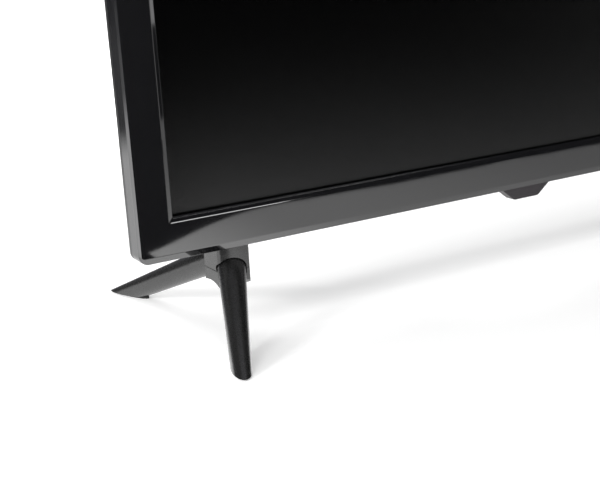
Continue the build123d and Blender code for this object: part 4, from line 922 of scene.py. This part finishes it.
@dataclass
class Studio:
    """The pale floor, the white surroundings, the lamps and the camera.

    Attributes:
        floor_half: half the floor's width.
        floor_cells: how many cells the floor has each way.
        floor_paint: the two tones of the floor's paint.
        floor_patch: size of the patches of these tones.
        floor_lift: extra light of the floor to the eye, near the set.
        floor_far: span of the distance from the set over which that grows to 1.
        pool: the light that gloss sees on the floor.
        sky: level of the light from all round.
        overhead: extra level of the light from above.
        overhead_span: span of the upward share of the direction where it begins.
        room: the colour of the room that gloss sees.
        above: how much brighter than the room its ceiling is.
        above_span: span of the upward share of the direction where the ceiling begins.
        backdrop: how much brighter than the room its far wall is.
        backdrop_span: span of the share of the direction along Y where that wall begins.
        lens: focal length in millimetres.
        sensor: sensor width in millimetres.
        clip: nearest and furthest distance that the camera sees.
        camera_place: where the camera stands.
        camera_right: the direction of the picture's right.
        camera_down: the direction of the picture's bottom.
        camera_forward: the direction of view.
        softboxes: the lamps.
    """

    floor_half: float = 6.0
    floor_cells: int = 8
    floor_paint: tuple[Colour, Colour] = ((0.86, 0.86, 0.86), (0.88, 0.88, 0.88))
    floor_patch: float = 0.4
    floor_lift: float = 0.3
    floor_far: Span = (0.45, 0.9)
    pool: Pool = Pool()
    sky: float = 0.25
    overhead: float = 1.6
    overhead_span: Span = (0.82, 0.95)
    room: Colour = (0.012, 0.012, 0.013)
    above: float = 45.0
    above_span: Span = (0.86, 0.96)
    backdrop: float = 14.0
    backdrop_span: Span = (0.8, 0.95)
    lens: float = 63.79
    sensor: float = 36.0
    clip: Span = (0.01, 50.0)
    camera_place: Point = (-0.4850, -0.55496, 0.2179)
    camera_right: Point = (0.85886, -0.50941, -0.05346)
    camera_down: Point = (-0.18695, -0.2146, -0.95864)
    camera_forward: Point = (0.47687, 0.83334, -0.27954)
    softboxes: tuple[Softbox, ...] = (
        Softbox("side_softbox", (-1.5, -0.45, 1.0), (-0.2, 0.0, 0.05), 0.8, 0.8, 4.5),
        Softbox("front_strip", (0.58, -0.93, 1.36), (-0.1, 0.0, 0.1), 0.8, 0.3, 5.0, diffuse=False),
        Softbox("right_panel", (2.4, -0.66, 0.2), (-0.26, 0.0, 0.2), 0.7, 1.0, 1.2, diffuse=False),
        Softbox("left_lamp", (-1.6, 0.05, 0.65), (-0.1, 0.0, 0.0), 0.3, 0.3, 40.0, gloss=False),
        Softbox("back_lamp", (0.0, 1.6, 0.95), (0.0, 0.0, 0.0), 1.0, 0.4, 13.0, gloss=False),
    )

    def camera(self) -> bpy.types.Object:
        """Makes the camera with the photograph's place, direction and lens.

        Returns:
            The camera's object.
        """
        lens = bpy.data.cameras.new("camera")
        lens.lens, lens.sensor_width = self.lens, self.sensor
        lens.clip_start, lens.clip_end = self.clip
        holder = bpy.data.objects.new("camera", lens)
        bpy.context.scene.collection.objects.link(holder)
        turn = np.eye(4)
        turn[:3, 0] = self.camera_right
        turn[:3, 1] = -np.array(self.camera_down)
        turn[:3, 2] = -np.array(self.camera_forward)
        turn[:3, 3] = self.camera_place
        holder.matrix_world = Matrix(turn.tolist())
        bpy.context.scene.camera = holder
        return holder

    def floor(self) -> bpy.types.Object:
        """Makes the floor, a broad flat sheet that is white to the eye.

        Returns:
            The floor.
        """
        marks = np.linspace(-self.floor_half, self.floor_half, self.floor_cells + 1)
        u, v = np.meshgrid(marks, marks)
        points = np.stack([u, v, np.zeros_like(u)], axis=-1).reshape(-1, 3)
        number = np.arange(u.size).reshape(u.shape)
        corners = [number[:-1, :-1], number[:-1, 1:], number[1:, 1:], number[1:, :-1]]
        quads = np.stack(corners, axis=-1).reshape(-1, 4)
        sheet = make_mesh("studio_floor", points, quads)
        sheet.data.materials.append(self.floor_material())
        return sheet

    def floor_material(self) -> bpy.types.Material:
        """Makes the floor's material: white paint to the eye, and a pool of light to gloss.

        Returns:
            The material.
        """
        material = bpy.data.materials.new("finish_floor")
        material.use_nodes = True
        nodes = NodeTree(material.node_tree)
        paint = material.node_tree.nodes["Principled BSDF"]
        paint.inputs["Roughness"].default_value = 0.9
        paint.inputs["Specular IOR Level"].default_value = 0.0
        place = nodes.place()
        tone = nodes.blend(nodes.noise(place, self.floor_patch), *self.floor_paint)
        nodes.join(tone, paint.inputs["Base Color"])
        split = nodes.add("ShaderNodeSeparateXYZ")
        nodes.join(place, split.inputs[0])
        glow = nodes.add("ShaderNodeEmission", Color=WHITE)
        nodes.join(self.pool.strength(nodes, split.outputs[0], split.outputs[1]), glow.inputs["Strength"])
        path = nodes.add("ShaderNodeLightPath")
        mix = nodes.add("ShaderNodeMixShader")
        lift = nodes.add("ShaderNodeEmission", Color=WHITE)
        distance = nodes.add("ShaderNodeVectorMath", operation="LENGTH")
        nodes.join(place, distance.inputs[0])
        level = nodes.ramp(distance.outputs["Value"], self.floor_lift, 1.0, self.floor_far)
        nodes.join(nodes.math("MULTIPLY", path.outputs["Is Camera Ray"], level), lift.inputs["Strength"])
        lifted = nodes.add("ShaderNodeAddShader")
        nodes.join(paint.outputs[0], lifted.inputs[0])
        nodes.join(lift.outputs[0], lifted.inputs[1])
        nodes.join(path.outputs["Is Glossy Ray"], mix.inputs[0])
        nodes.join(lifted.outputs[0], mix.inputs[1])
        nodes.join(glow.outputs[0], mix.inputs[2])
        nodes.join(mix.outputs[0], material.node_tree.nodes["Material Output"].inputs["Surface"])
        return material

    def surroundings(self) -> None:
        """White to the eye, plain soft light to the surfaces, and a dim room to gloss."""
        world = bpy.data.worlds.new("studio")
        bpy.context.scene.world = world
        world.use_nodes = True
        nodes = NodeTree(world.node_tree)
        output = world.node_tree.nodes["World Output"]
        soft = world.node_tree.nodes["Background"]
        soft.inputs["Color"].default_value = WHITE
        split = nodes.add("ShaderNodeSeparateXYZ")
        nodes.join(nodes.add("ShaderNodeTexCoord").outputs["Generated"], split.inputs[0])
        along, upward = split.outputs[1], split.outputs[2]
        overhead = nodes.ramp(upward, self.sky, self.sky + self.overhead, self.overhead_span)
        nodes.join(overhead, soft.inputs["Strength"])
        white = nodes.add("ShaderNodeBackground", Color=WHITE, Strength=1.0)
        room = nodes.add("ShaderNodeBackground", Color=(*self.room, 1.0))
        above = nodes.ramp(upward, 1.0, self.above, self.above_span)
        backdrop = nodes.ramp(along, 0.0, self.backdrop, self.backdrop_span)
        nodes.join(nodes.math("ADD", above, backdrop), room.inputs["Strength"])
        path = nodes.add("ShaderNodeLightPath")
        gloss = nodes.add("ShaderNodeMixShader")
        nodes.join(path.outputs["Is Glossy Ray"], gloss.inputs[0])
        nodes.join(soft.outputs[0], gloss.inputs[1])
        nodes.join(room.outputs[0], gloss.inputs[2])
        eye = nodes.add("ShaderNodeMixShader")
        nodes.join(path.outputs["Is Camera Ray"], eye.inputs[0])
        nodes.join(gloss.outputs[0], eye.inputs[1])
        nodes.join(white.outputs[0], eye.inputs[2])
        nodes.join(eye.outputs[0], output.inputs["Surface"])

    def build(self) -> None:
        """Makes the floor, the surroundings, the lamps and the camera."""
        self.camera()
        self.floor()
        self.surroundings()
        for softbox in self.softboxes:
            softbox.build()
        bpy.context.scene.view_settings.view_transform = "Standard"


def main() -> None:
    """Builds the set and its studio, and logs the bezel's face count."""
    logging.basicConfig(level=logging.INFO, format="%(message)s")
    book = FinishBook(FINISHES)
    CarriedOver().dress(book)
    bezel = Bezel().build(book)
    LOG.info("%s has %d faces", bezel.name, len(bezel.data.polygons))
    Studio().build()


if __name__ == "__main__":
    main()
